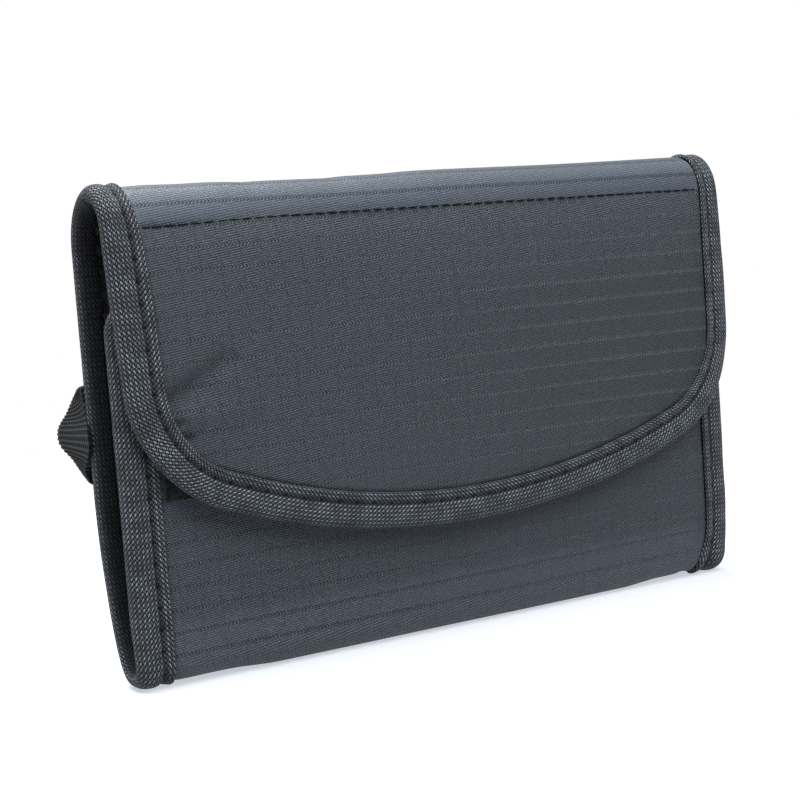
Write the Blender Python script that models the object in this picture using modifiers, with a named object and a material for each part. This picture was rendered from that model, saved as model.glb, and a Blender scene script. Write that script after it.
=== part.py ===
import bpy
import bmesh
from math import asin, cos, pi, sin, sqrt
from mathutils import Vector

# A folding fabric case for spare camera batteries, closed and standing on its bottom fold.
# Metres, +Z up, the flap and the front face -Y, the base rests on z = 0.
# One padded sheet makes the front panel, bottom fold, back panel, top fold and flap in turn.

# Overall size of the closed case
case_width = 0.172
case_height = 0.112
case_depth = 0.017          # over the outer faces of the back and front panels

# Plies of the padded sheet, from outside in, and the tape folded over its edge
shell_thickness = 0.0004
foam_thickness = 0.0008
lining_thickness = 0.0004
tape_thickness = 0.0006
tape_width = 0.009
tape_edge_round = 0.0012    # the folded edge of the tape, seen in section
ply_gap = 0.0003
foam_setback = 0.0010       # from the tape's inner edge
foam_joint_setback = 0.0020

# Folds, where one stiff panel ends and the next begins
joint_gap = 0.0003
pin_clearance = 0.0001      # from a fold's outer face to its axis
back_joint_drop = 0.014     # from the case's top
crease_drop = 0.0116
front_joint_height = 0.0046

# Bottom fold
front_corner_reach = 0.0026
rear_corner_reach = 0.0050
rear_corner_height = 0.012
base_sag = 0.0009           # the fabric between the tapes sags level with them
base_sag_run = 0.010

# Flap: it leans out from the crease, then hangs straight
crease_face = 0.0079        # middle of the ply stack, in front of the case's middle plane
flap_face = 0.0135
flap_lean_height = 0.0384   # from the crease down to where it hangs straight
flap_tip_height = 0.0285
flap_fillet = 0.020
flap_bow_radius = 0.180

# Front panel
front_top_drop = 0.027      # from the case's top
front_fillet = 0.014
front_bow_radius = 2.0

# Outward swell of the panels
back_crown = 0.0008
front_crown = 0.0010
flap_crown = 0.0010

# Hook and loop closure
hook_width = 0.100
hook_height = 0.016
hook_rise = 0.007           # from the loop strip's lower edge
loop_width = 0.150
loop_height = 0.022
loop_drop = 0.022           # from the front panel's top edge
pile_thickness = 0.0014

# Belt loop on the back, near the left edge
loop_tape_width = 0.016
loop_tape_thickness = 0.0012
loop_bottom_height = 0.043
loop_top_height = 0.068
loop_foot = 0.003
loop_reach = 0.0125
loop_side_setback = 0.001
bartack_width = 0.012
bartack_height = 0.0018
bartack_thickness = 0.0005

# Battery pockets on the back lining
pocket_count = 3
pocket_width = 0.0498
pocket_pitch = 0.0506
pocket_bottom_height = 0.016
pocket_mouth_height = 0.068
pocket_depth = 0.0046
pocket_cloth = 0.0005
pocket_flange = 0.0022
pocket_wall_run = 0.0010
pocket_foot_height = 0.008
hem_height = 0.006
seam_tape_width = 0.0032
seam_tape_thickness = 0.0004
foot_tape_height = 0.005

# Card pocket on the front lining
card_panel_width = 0.140
card_panel_bottom = 0.014
card_mouth_drop = 0.0067    # from the binding's inner edge
card_cloth = 0.0003
window_count = 3
window_width = 0.040
window_drop = 0.007         # from the panel's top
window_pitch = 0.0445
window_rise = 0.005
window_film = 0.0003
card_tape_height = 0.005

# Thread showing along the crease
stitch_length = 0.0030
stitch_pitch = 0.0043
stitch_width = 0.0005
stitch_rise = 0.0003
crease_stitch_drop = 0.0010

# Steps in each direction, all plain counts
side_steps = 5
fillet_steps = 2
far_steps = 8
panel_rows = 8
middle_steps = 6
corner_steps = 3
spine_rows = 8
arch_steps = 8

# Derived stack, measured from the middle of the plies
panel_thickness = shell_thickness + foam_thickness + lining_thickness + 2 * ply_gap
half_panel = panel_thickness / 2
edge_thickness = panel_thickness + 2 * (ply_gap + tape_thickness)
half_edge = edge_thickness / 2
shell_offset = half_panel - shell_thickness / 2
lining_offset = lining_thickness / 2 - half_panel
tape_offset = half_edge - tape_thickness / 2
ply_inset = tape_edge_round + tape_thickness + ply_gap
foam_inset = tape_width + foam_setback
half_width = case_width / 2
back_y = case_depth / 2 - half_edge
front_y = -back_y
base_z = half_edge
half_gap = joint_gap / 2
back_joint_height = case_height - back_joint_drop
crease_height = case_height - crease_drop
flap_straight_height = crease_height - flap_lean_height
front_top_height = case_height - front_top_drop
loop_bottom = front_top_height - loop_drop - loop_height
hook_bottom = loop_bottom + hook_rise
card_tape_top = front_top_height - tape_width - card_mouth_drop
card_panel_top = card_tape_top - card_tape_height - ply_gap

colours = {
    "ripstop": ((0.045, 0.050, 0.060), 0.55),
    "foam": ((0.10, 0.10, 0.11), 0.95),
    "lining": ((0.09, 0.10, 0.11), 0.80),
    "binding": ((0.035, 0.038, 0.042), 0.85),
    "webbing": ((0.022, 0.024, 0.027), 0.75),
    "hook": ((0.020, 0.020, 0.022), 0.70),
    "pile": ((0.018, 0.018, 0.020), 0.98),
    "thread": ((0.015, 0.015, 0.017), 0.60),
    "pocket": ((0.12, 0.13, 0.14), 0.75),
    "elastic": ((0.03, 0.03, 0.035), 0.80),
    "film": ((0.75, 0.78, 0.80), 0.20),
}

for old in list(bpy.data.objects):
    bpy.data.objects.remove(old)

case_parts = bpy.data.collections.new("battery_case")
bpy.context.scene.collection.children.link(case_parts)


def material(name):
    found = bpy.data.materials.get(name)
    if found:
        return found
    colour, roughness = colours[name]
    made = bpy.data.materials.new(name)
    made.use_nodes = True
    shader = made.node_tree.nodes["Principled BSDF"]
    shader.inputs["Base Color"].default_value = (*colour, 1)
    shader.inputs["Roughness"].default_value = roughness
    shader.inputs["Metallic"].default_value = 0
    return made


def joint_empty(name, y, z, parent=None):
    empty = bpy.data.objects.new(name, None)
    case_parts.objects.link(empty)
    place = Vector((0, y, z))
    if parent:
        empty.parent = parent
        place = place - Vector(parent["axis"])
    empty.location = place
    empty["axis"] = (0, y, z)
    return empty


def smooth(share):
    share = min(max(share, 0), 1)
    return share * share * (3 - 2 * share)


# A station is a point of the sheet's middle, seen from the side, with its outward normal.
# It is worked out from a point and the way the sheet runs there.
def stations(points):
    found = []
    for point, run in points:
        along = Vector(run).normalized()
        found.append((point[0], point[1], along[1], -along[0]))
    return found


def at(x, station, offset):
    y, z, out_y, out_z = station
    return Vector((x, y + out_y * offset, z + out_z * offset))


def flap_y(z):
    share = max(z - flap_straight_height, 0) / (crease_height - flap_straight_height)
    return (flap_face - crease_face) * share * share - flap_face


def flap_slope(z):
    span = crease_height - flap_straight_height
    share = max(z - flap_straight_height, 0) / span
    return 2 * (flap_face - crease_face) * share / span


def swell(x, share, crown):
    across = smooth((half_width - abs(x)) / half_width)
    return crown * across * sin(pi * min(max(share, 0), 1))


def back_station(x, z):
    share = (z - rear_corner_height) / (back_joint_height - rear_corner_height)
    return (back_y + swell(x, share, back_crown), z, 1, 0)


def front_station(x, rise):
    share = rise / (front_top_height - front_joint_height)
    return (front_y - swell(x, share, front_crown), front_joint_height + rise, -1, 0)


def flap_station(x, drop):
    z = crease_height - drop
    slope = flap_slope(z)
    size = sqrt(1 + slope * slope)
    share = drop / (crease_height - flap_tip_height)
    return (flap_y(z) - swell(x, share, flap_crown), z, -1 / size, slope / size)


def bottom_points():
    front_centre = front_y + front_corner_reach
    rear_centre = back_y - rear_corner_reach
    front_drop = front_joint_height - base_z
    rear_rise = rear_corner_height - base_z
    points = []
    for step in range(corner_steps + 1):
        angle = pi / 2 * step / corner_steps
        point = (front_centre - front_corner_reach * cos(angle), front_joint_height - front_drop * sin(angle))
        points.append((point, (front_corner_reach * sin(angle), -front_drop * cos(angle))))
    for step in range(corner_steps + 1):
        angle = pi / 2 * step / corner_steps
        point = (rear_centre + rear_corner_reach * sin(angle), rear_corner_height - rear_rise * cos(angle))
        points.append((point, (rear_corner_reach * cos(angle), rear_rise * sin(angle))))
    return points


def spine_points():
    lean = Vector((-flap_slope(crease_height), -1)).normalized()
    start = Vector((back_y, back_joint_height))
    end = Vector((-crease_face, crease_height))
    top = case_height - half_edge
    # The handle length that carries the curve's middle to the top height
    pull = (8 * top - 4 * (start[1] + end[1])) / (3 * (1 - lean[1]))
    first = start + Vector((0, 1)) * pull
    second = end - lean * pull
    points = []
    for step in range(spine_rows + 1):
        share = step / spine_rows
        rest = 1 - share
        point = (start * rest ** 3 + first * (3 * rest * rest * share)
                 + second * (3 * rest * share * share) + end * share ** 3)
        run = ((first - start) * rest ** 2 + (second - first) * (2 * rest * share)
               + (end - second) * share ** 2)
        points.append((point, run))
    return points


def trimmed(points, gap):
    # Shortens a run of points by the same length at both ends
    head, head_run = points[0]
    tail, tail_run = points[-1]
    first = Vector(head) + Vector(head_run).normalized() * gap
    last = Vector(tail) - Vector(tail_run).normalized() * gap
    return [(first, head_run)] + points[1:-1] + [(last, tail_run)]


# The free outline of the flap or the front panel, as points (x, distance from its fold):
# two straight sides, two rounded corners and a shallow far edge, each split for a grid.
def free_edge(length, fillet, bow_radius, inset, start):
    side = half_width - inset
    corner = fillet - inset
    bow = bow_radius - inset
    reach = length - inset
    bow_centre = reach - bow
    corner_x = side - corner
    corner_h = bow_centre + sqrt((bow - corner) ** 2 - corner_x ** 2)
    lean = asin(corner_x / (bow - corner))
    middle = (pi / 2 + lean) / 2
    right = [(side, start + (corner_h - start) * step / side_steps) for step in range(side_steps + 1)]
    for step in range(1, fillet_steps + 1):
        angle = pi / 2 + (middle - pi / 2) * step / fillet_steps
        right.append((corner_x + corner * sin(angle), corner_h + corner * cos(angle)))
    half_far = [right[-1]]
    for step in range(1, fillet_steps + 1):
        angle = middle + (lean - middle) * step / fillet_steps
        half_far.append((corner_x + corner * sin(angle), corner_h + corner * cos(angle)))
    for step in range(1, far_steps // 2 + 1):
        angle = lean - lean * step / (far_steps // 2)
        half_far.append((bow * sin(angle), bow_centre + bow * cos(angle)))
    left = [(-x, h) for x, h in right]
    far = [(-x, h) for x, h in half_far] + half_far[-2::-1]
    return left, far, right


def sheet(name, columns, rows, place, thickness, colour, parent=None):
    mesh = bpy.data.meshes.new(name)
    grid = bmesh.new()
    bmesh.ops.create_grid(grid, x_segments=columns, y_segments=rows, size=0.5)
    home = Vector(parent["axis"]) if parent else Vector()
    for vert in grid.verts:
        column = round((vert.co.x + 0.5) * columns)
        row = round((vert.co.y + 0.5) * rows)
        vert.co = place(column, row) - home
    grid.to_mesh(mesh)
    grid.free()
    mesh.materials.append(material(colour))
    mesh.shade_smooth()
    piece = bpy.data.objects.new(name, mesh)
    case_parts.objects.link(piece)
    piece.parent = parent
    solid = piece.modifiers.new("cloth", "SOLIDIFY")
    solid.thickness = thickness
    solid.offset = 0
    solid.use_even_offset = True
    return piece


def block(name, centre, size, colour, parent=None):
    mesh = bpy.data.meshes.new(name)
    cube = bmesh.new()
    home = Vector(parent["axis"]) if parent else Vector()
    bmesh.ops.create_cube(cube, size=1)
    for vert in cube.verts:
        flat = Vector((vert.co.x * size[0], vert.co.y * size[1], vert.co.z * size[2]))
        vert.co = flat + Vector(centre) - home
    cube.to_mesh(mesh)
    cube.free()
    mesh.materials.append(material(colour))
    piece = bpy.data.objects.new(name, mesh)
    case_parts.objects.link(piece)
    piece.parent = parent
    return piece


# Plies of a panel with a free outline
def outlined_ply(name, station, edge, offset, thickness, colour, parent):
    left, far, right = edge
    columns = len(far) - 1
    rows = len(left) - 1
    start_h = left[0][1]
    corner_h = left[-1][1]

    def place(column, row):
        across = (far[column][0] - far[0][0]) / (far[-1][0] - far[0][0])
        along = (left[row][1] - start_h) / (corner_h - start_h)
        x = left[row][0] + (right[row][0] - left[row][0]) * across
        h = left[row][1] + along * (far[column][1] - corner_h)
        return at(x, station(x, h), offset)

    return sheet(name, columns, rows, place, thickness, colour, parent)


# Section of the folded tape: distance in from the edge, and offset from the middle of the plies
tape_section = [
    (tape_width, tape_offset),
    (tape_width / 2, tape_offset),
    (tape_edge_round + tape_thickness / 2, tape_offset),
    (tape_thickness / 2, 0),
    (tape_edge_round + tape_thickness / 2, -tape_offset),
    (tape_width / 2, -tape_offset),
    (tape_width, -tape_offset),
]


def outlined_tape(name, station, length, fillet, bow_radius, parent):
    runs = []
    for inset, offset in tape_section:
        left, far, right = free_edge(length, fillet, bow_radius, inset, half_gap)
        runs.append((left + far[1:] + right[-2::-1], offset))

    def place(column, row):
        run, offset = runs[column]
        x, h = run[row]
        return at(x, station(x, h), offset)

    return sheet(name, len(runs) - 1, len(runs[0][0]) - 1, place, tape_thickness, "binding", parent)


def side_tape(name, side, station_at, rows, parent):
    def place(column, row):
        inset, offset = tape_section[column]
        x = side * (half_width - inset)
        return at(x, station_at(x, row), offset)

    return sheet(name, len(tape_section) - 1, rows, place, tape_thickness, "binding", parent)


def full_ply(name, station_at, rows, inset, offset, thickness, colour, parent):
    tape_inner = tape_width + ply_gap
    edges = [inset] + [edge for edge in (tape_inner, tape_inner + base_sag_run) if edge > inset]
    left = [edge - half_width for edge in edges]
    middle = [left[-1] * (1 - 2 * step / middle_steps) for step in range(1, middle_steps)]
    columns = left + middle + [-x for x in reversed(left)]

    def place(column, row):
        x = columns[column]
        return at(x, station_at(x, row), offset)

    return sheet(name, len(columns) - 1, rows, place, thickness, colour, parent)


def patch(name, x_middle, width, low, high, station, offset, thickness, colour, parent=None,
          columns=6, rows=2):
    def place(column, row):
        x = x_middle + width * (column / columns - 1 / 2)
        return at(x, station(x, low + (high - low) * row / rows), offset)

    return sheet(name, columns, rows, place, thickness, colour, parent)


# Fold axes, each just outside the outer face of its fold
crease_y, crease_z, crease_out_y, crease_out_z = flap_station(half_width, 0)
pin_offset = half_edge + pin_clearance
spine_fold = joint_empty("spine_fold", back_y + pin_offset, back_joint_height)
flap_fold = joint_empty("flap_fold", crease_y + crease_out_y * pin_offset,
                        crease_z + crease_out_z * pin_offset, spine_fold)
front_fold = joint_empty("front_fold", front_y - pin_offset, front_joint_height)

# Back panel
back_low = rear_corner_height + half_gap
back_high = back_joint_height - half_gap


def back_row(x, row):
    return back_station(x, back_low + (back_high - back_low) * row / panel_rows)


def back_foam_row(x, row):
    high = back_joint_height - foam_joint_setback
    low = back_low + foam_joint_setback
    return back_station(x, low + (high - low) * row / panel_rows)


full_ply("back_shell", back_row, panel_rows, ply_inset, shell_offset, shell_thickness, "ripstop", None)
full_ply("back_foam", back_foam_row, panel_rows, foam_inset, 0, foam_thickness, "foam", None)
full_ply("back_lining", back_row, panel_rows, ply_inset, lining_offset, lining_thickness, "lining", None)
side_tape("back_binding_left", -1, back_row, panel_rows, None)
side_tape("back_binding_right", 1, back_row, panel_rows, None)

# Bottom fold, sewn to the back panel; its far end meets the front panel at the front fold
bottom_line = stations(trimmed(bottom_points(), half_gap))
bottom_rows = len(bottom_line) - 1


def bottom_row(x, row):
    return bottom_line[row]


def bottom_sag_row(x, row):
    y, z, out_y, out_z = bottom_line[row]
    across = smooth((half_width - tape_width - ply_gap - abs(x)) / base_sag_run)
    low = 1 if corner_steps <= row <= corner_steps + 1 else 0
    return (y, z - base_sag * across * low, out_y, out_z)


full_ply("bottom_fold_shell", bottom_sag_row, bottom_rows, ply_inset, shell_offset,
         shell_thickness, "ripstop", None)
full_ply("bottom_fold_lining", bottom_sag_row, bottom_rows, ply_inset, lining_offset,
         lining_thickness, "lining", None)
side_tape("bottom_fold_binding_left", -1, bottom_row, bottom_rows, None)
side_tape("bottom_fold_binding_right", 1, bottom_row, bottom_rows, None)

# Top fold
spine_line = stations(trimmed(spine_points(), half_gap))


def spine_row(x, row):
    return spine_line[row]


full_ply("spine_shell", spine_row, spine_rows, ply_inset, shell_offset, shell_thickness,
         "ripstop", spine_fold)
full_ply("spine_lining", spine_row, spine_rows, ply_inset, lining_offset, lining_thickness,
         "lining", spine_fold)
side_tape("spine_binding_left", -1, spine_row, spine_rows, spine_fold)
side_tape("spine_binding_right", 1, spine_row, spine_rows, spine_fold)

# Flap
flap_length = crease_height - flap_tip_height
flap_edge = free_edge(flap_length, flap_fillet, flap_bow_radius, ply_inset, half_gap)
flap_foam_edge = free_edge(flap_length, flap_fillet, flap_bow_radius, foam_inset, foam_joint_setback)
outlined_ply("flap_shell", flap_station, flap_edge, shell_offset, shell_thickness, "ripstop", flap_fold)
outlined_ply("flap_foam", flap_station, flap_foam_edge, 0, foam_thickness, "foam", flap_fold)
outlined_ply("flap_lining", flap_station, flap_edge, lining_offset, lining_thickness, "lining", flap_fold)
outlined_tape("flap_binding", flap_station, flap_length, flap_fillet, flap_bow_radius, flap_fold)

# Front panel
front_length = front_top_height - front_joint_height
front_edge = free_edge(front_length, front_fillet, front_bow_radius, ply_inset, half_gap)
front_foam_edge = free_edge(front_length, front_fillet, front_bow_radius, foam_inset, foam_joint_setback)
outlined_ply("front_shell", front_station, front_edge, shell_offset, shell_thickness, "ripstop", front_fold)
outlined_ply("front_foam", front_station, front_foam_edge, 0, foam_thickness, "foam", front_fold)
outlined_ply("front_lining", front_station, front_edge, lining_offset, lining_thickness, "lining", front_fold)
outlined_tape("front_binding", front_station, front_length, front_fillet, front_bow_radius, front_fold)

# Hook and loop closure
pile_offset = half_panel + ply_gap + pile_thickness / 2


def flap_at(x, z):
    return flap_station(x, crease_height - z)


def front_at(x, z):
    return front_station(x, z - front_joint_height)


patch("flap_hook_strip", 0, hook_width, hook_bottom, hook_bottom + hook_height, flap_at,
      -pile_offset, pile_thickness, "hook", flap_fold, columns=8)
patch("front_loop_strip", 0, loop_width, loop_bottom, loop_bottom + loop_height, front_at,
      pile_offset, pile_thickness, "pile", front_fold, columns=8)

# Thread along the crease: one run, which rises over each stitch and dips between them
crease_reach = half_width - tape_width - stitch_pitch
crease_count = round(2 * crease_reach / stitch_pitch)
thread_offset = half_panel + ply_gap + stitch_width / 2


def crease_place(column, row):
    stitch, corner = divmod(column, 4)
    pitch = 2 * crease_reach / crease_count
    ramp = (pitch - stitch_length) / 4
    x = pitch * stitch - crease_reach + (ramp, 3 * ramp, 3 * ramp + stitch_length, pitch)[corner]
    rise = stitch_rise if corner in (1, 2) else 0
    drop = crease_stitch_drop + stitch_width * row
    return at(x, flap_station(x, drop), thread_offset + rise)


sheet("crease_stitching", 4 * crease_count - 1, 1, crease_place, stitch_width, "thread", flap_fold)

# Belt loop: its two feet lie on the back binding, its middle stands off for a belt
belt_left = loop_side_setback - half_width
belt_middle = belt_left + loop_tape_width / 2
belt_swell = swell(belt_left + loop_tape_width, 1 / 2, back_crown)
belt_face = back_y + belt_swell + half_edge + ply_gap + loop_tape_thickness / 2


def belt_points():
    reach = loop_reach - loop_tape_thickness
    half_span = (loop_top_height - loop_bottom_height) / 2 - loop_foot
    middle = (loop_top_height + loop_bottom_height) / 2
    up = (0, 1)
    points = [((belt_face, loop_bottom_height), up), ((belt_face, loop_bottom_height + loop_foot), (1, 1))]
    for step in range(1, arch_steps):
        angle = pi * step / arch_steps
        point = (belt_face + reach * sin(angle), middle - half_span * cos(angle))
        points.append((point, (reach * cos(angle), half_span * sin(angle))))
    points += [((belt_face, loop_top_height - loop_foot), (-1, 1)), ((belt_face, loop_top_height), up)]
    return points


belt_line = stations(belt_points())


def belt_place(column, row):
    x = belt_left + loop_tape_width * column / 2
    return at(x, belt_line[row], 0)


sheet("belt_loop", 2, len(belt_line) - 1, belt_place, loop_tape_thickness, "webbing")
tack_y = belt_face + loop_tape_thickness / 2 + ply_gap + bartack_thickness / 2
tack_inset = bartack_height / 2
tack_size = (bartack_width, bartack_thickness, bartack_height)
block("belt_loop_bartack_low", (belt_middle, tack_y, loop_bottom_height + tack_inset), tack_size, "thread")
block("belt_loop_bartack_high", (belt_middle, tack_y, loop_top_height - tack_inset), tack_size, "thread")

# Battery pockets: slack sleeves, sewn down at both sides and gathered in at the foot
flange_offset = half_panel + ply_gap + pocket_cloth / 2
pocket_start = -pocket_pitch * (pocket_count - 1) / 2


def sleeve_section(depth):
    half = pocket_width / 2
    wall = half - pocket_flange
    return [(-half, 0), (-wall, 0), (-wall + pocket_wall_run, depth), (0, depth),
            (wall - pocket_wall_run, depth), (wall, 0), (half, 0)]


def pocket_places(middle):
    sewn_top = pocket_bottom_height + foot_tape_height
    foot_top = sewn_top + pocket_foot_height
    heights = [pocket_bottom_height, sewn_top, (sewn_top + foot_top) / 2, foot_top,
               (foot_top + pocket_mouth_height) / 2, pocket_mouth_height]

    def place(column, row):
        z = heights[row]
        depth = pocket_depth * smooth((z - sewn_top) / pocket_foot_height)
        x, out = sleeve_section(depth)[column]
        return at(middle + x, back_station(middle + x, z), -flange_offset - out)

    return place, len(heights) - 1


def hem_places(middle):
    low = pocket_mouth_height + ply_gap

    def place(column, row):
        x, out = sleeve_section(pocket_depth)[column]
        z = low + hem_height * row
        return at(middle + x, back_station(middle + x, z), -flange_offset - out)

    return place


for number in range(pocket_count):
    middle_x = pocket_start + pocket_pitch * number
    sleeve, sleeve_rows = pocket_places(middle_x)
    sheet(f"battery_pocket_{number + 1}", 6, sleeve_rows, sleeve, pocket_cloth, "pocket")
    sheet(f"pocket_hem_{number + 1}", 6, 1, hem_places(middle_x), pocket_cloth, "elastic")

seam_offset = flange_offset + pocket_cloth / 2 + ply_gap + seam_tape_thickness / 2
seam_low = pocket_bottom_height + foot_tape_height + ply_gap
for number in range(pocket_count - 1):
    seam_x = pocket_start + pocket_pitch * (number + 1 / 2)
    patch(f"pocket_seam_tape_{number + 1}", seam_x, seam_tape_width, seam_low, pocket_mouth_height,
          back_station, -seam_offset, seam_tape_thickness, "elastic", columns=1, rows=4)

patch("pocket_foot_tape", 0, pocket_pitch * (pocket_count - 1) + pocket_width,
      pocket_bottom_height, pocket_bottom_height + foot_tape_height - ply_gap,
      back_station, -seam_offset, seam_tape_thickness, "elastic", columns=12, rows=1)

# Card pocket on the front lining, with clear windows
card_offset = half_panel + ply_gap + card_cloth / 2
patch("card_pocket_panel", 0, card_panel_width, card_panel_bottom, card_panel_top, front_at,
      -card_offset, card_cloth, "pocket", front_fold, columns=8, rows=6)
window_offset = card_offset + card_cloth / 2 + ply_gap + window_film / 2
window_low = card_panel_bottom + window_rise
window_high = card_panel_top - window_drop
for number in range(window_count):
    window_x = window_pitch * (number - (window_count - 1) / 2)
    patch(f"card_window_{number + 1}", window_x, window_width, window_low, window_high,
          front_at, -window_offset, window_film, "film", front_fold, columns=3, rows=4)
patch("card_pocket_tape", 0, card_panel_width, card_tape_top - card_tape_height, card_tape_top, front_at,
      -card_offset, card_cloth, "binding", front_fold, columns=8, rows=1)
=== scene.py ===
import math
import bpy
import numpy as np
from mathutils import Matrix, Vector, noise


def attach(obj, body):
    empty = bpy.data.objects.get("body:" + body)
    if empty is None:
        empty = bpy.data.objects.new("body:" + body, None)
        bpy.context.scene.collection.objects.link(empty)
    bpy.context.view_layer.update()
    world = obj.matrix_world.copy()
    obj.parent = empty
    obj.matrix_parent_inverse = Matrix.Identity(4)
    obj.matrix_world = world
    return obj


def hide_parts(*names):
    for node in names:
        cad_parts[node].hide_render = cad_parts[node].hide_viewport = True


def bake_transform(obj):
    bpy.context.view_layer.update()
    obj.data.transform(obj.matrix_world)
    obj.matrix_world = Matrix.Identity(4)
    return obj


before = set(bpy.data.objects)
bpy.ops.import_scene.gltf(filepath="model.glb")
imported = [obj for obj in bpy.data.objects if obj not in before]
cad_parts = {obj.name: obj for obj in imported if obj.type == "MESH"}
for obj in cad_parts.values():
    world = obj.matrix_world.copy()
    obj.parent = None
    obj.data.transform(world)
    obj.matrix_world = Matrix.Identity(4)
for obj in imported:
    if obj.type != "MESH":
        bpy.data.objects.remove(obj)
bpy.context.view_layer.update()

# Lengths are in metres and angles in degrees, unless a note says otherwise
nudge = 0.001  # how far a surface is moved to find its outer side
smoothAngle = 50
evenRamp = (0.35, 0.65)  # the middle of a noise, for an even share of two colours


def onlySelect(piece):
    bpy.ops.object.select_all(action="DESELECT")
    piece.select_set(True)
    bpy.context.view_layer.objects.active = piece


def applyModifier(piece, kind, **settings):
    onlySelect(piece)
    bpy.ops.object.modifier_add(type=kind)
    modifier = piece.modifiers[-1]
    for name, value in settings.items():
        setattr(modifier, name, value)
    bpy.ops.object.modifier_apply(modifier=modifier.name)


def ease(value, reach=1.0):
    # Smoothly from 0 to 1, while value goes from 0 to reach
    share = np.clip(value / reach, 0, 1)
    return share * share * (3 - 2 * share)


def bell(value, width):
    return np.exp(-(value / width) ** 2)


def softNoise(first, second, seed):
    first, second = np.broadcast_arrays(first, second)
    values = [noise.noise(Vector((a, b, seed))) for a, b in zip(first.ravel(), second.ravel())]
    return np.array(values).reshape(first.shape)


def runOf(line):
    return np.concatenate([[0], np.cumsum(np.linalg.norm(np.diff(line, axis=0), axis=1))])


def resample(line, count):
    run = runOf(line)
    even = np.linspace(0, run[-1], count)
    return np.stack([np.interp(even, run, line[:, k]) for k in range(line.shape[1])], 1)


# The side profile of the middle of the plies, from the front panel's top edge, under the bottom,
# up the back, over the top and down to the flap's tip
caseShape = {"halfWidth": 0.086, "frontY": -0.0070, "frontTop": 0.0900, "frontFold": 0.0060,
             "frontReach": 0.0035, "rearFold": 0.0325, "rearReach": 0.0096, "base": 0.0023, "backY": 0.0086,
             "backFold": 0.0980, "creaseY": -0.0093, "creaseZ": 0.1020, "top": 0.1110, "flapY": -0.0125,
             "flapStraight": 0.0620, "flapTip": 0.0272, "step": 0.0005, "spare": 0.004, "frontPoints": 18,
             "basePoints": 9, "rearPoints": 64, "topPoints": 61}


def flapDepth(z):
    shape = caseShape
    share = max(z - shape["flapStraight"], 0) / (shape["creaseZ"] - shape["flapStraight"])
    return shape["flapY"] + (shape["creaseY"] - shape["flapY"]) * share * share


def profilePoints():
    shape = caseShape
    marks = {}
    front, back, base = shape["frontY"], shape["backY"], shape["base"]
    points = [(front, z) for z in np.arange(shape["frontTop"], shape["frontFold"], -shape["step"])]
    marks["frontFold"] = len(points)
    frontCentre, rearCentre = front + shape["frontReach"], back - shape["rearReach"]
    for angle in np.linspace(0, math.pi / 2, shape["frontPoints"]):
        points.append((frontCentre - shape["frontReach"] * math.cos(angle),
                       shape["frontFold"] - (shape["frontFold"] - base) * math.sin(angle)))
    for y in np.linspace(frontCentre, rearCentre, shape["basePoints"])[1:-1]:
        points.append((y, base))
        if y < (frontCentre + rearCentre) / 2 + shape["step"] / 2:
            marks["underside"] = len(points)
    for angle in np.linspace(0, math.pi / 2, shape["rearPoints"]):
        points.append((rearCentre + shape["rearReach"] * math.sin(angle),
                       shape["rearFold"] - (shape["rearFold"] - base) * math.cos(angle)))
    marks["backLow"] = len(points)
    points += [(back, z) for z in np.arange(shape["rearFold"] + shape["step"], shape["backFold"], shape["step"])]
    marks["backFold"] = len(points)
    # The top fold is one Bezier curve, whose handles make it as high as the case
    slope = 2 * (shape["creaseY"] - shape["flapY"]) / (shape["creaseZ"] - shape["flapStraight"])
    lean = Vector((-slope, -1)).normalized()
    start, end = Vector((back, shape["backFold"])), Vector((shape["creaseY"], shape["creaseZ"]))
    pull = (8 * shape["top"] - 4 * (start.y + end.y)) / (3 * (1 - lean.y))
    first, second = start + Vector((0, 1)) * pull, end - lean * pull
    for share in np.linspace(0, 1, shape["topPoints"]):
        rest = 1 - share
        point = (start * rest ** 3 + first * (3 * rest * rest * share)
                 + second * (3 * rest * share * share) + end * share ** 3)
        points.append((point.x, point.y))
        if share <= 0.5:
            marks["ridge"] = len(points) - 1
    marks["crease"] = len(points) - 1
    for z in np.arange(shape["creaseZ"] - shape["step"], shape["flapTip"] - shape["spare"], -shape["step"]):
        points.append((flapDepth(z), z))
        if z > shape["flapTip"]:
            marks["flapTip"] = len(points)
    return np.array(points), marks


profileLine, profileMarks = profilePoints()
profileRun = runOf(profileLine)
profileAlong = np.gradient(profileLine, profileRun, axis=0)
profileAlong /= np.linalg.norm(profileAlong, axis=1)[:, None]
runAt = {name: profileRun[index] for name, index in profileMarks.items()}
runAt["foot"] = (runAt["frontFold"] + runAt["underside"]) / 2
flapEnd = runAt["flapTip"]
print("profile ready, runs", {name: round(float(run) * 1000, 1) for name, run in runAt.items()})

# How far the side edges fall back from the flat panel, along the cloth
curlPlan = {"reach": 0.012, "most": 1.1,
            "run": (0, runAt["frontFold"] - 0.009, runAt["underside"], runAt["backLow"], runAt["backFold"],
                    runAt["crease"] - 0.004, runAt["crease"] + 0.014, flapEnd),
            "fall": (0.0018, 0.0018, 0.0001, 0.0002, 0.0003, 0.0006, 0.0020, 0.0020)}
# How high each panel's middle is crowned, and between which runs
crowns = ((0, runAt["frontFold"], 0.0010), (runAt["backLow"], runAt["backFold"], 0.0008),
          (runAt["crease"], flapEnd, 0.0010))


def crown(x, s):
    fromSide = caseShape["halfWidth"] - np.abs(x)
    across = ease(fromSide, caseShape["halfWidth"])
    total = np.zeros_like(x)
    for low, high, height in crowns:
        total += height * across * np.sin(math.pi * np.clip((s - low) / (high - low), 0, 1))
    edge = np.clip(1 - fromSide / curlPlan["reach"], 0, curlPlan["most"])
    return total - np.interp(s, curlPlan["run"], curlPlan["fall"]) * edge * edge


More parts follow.
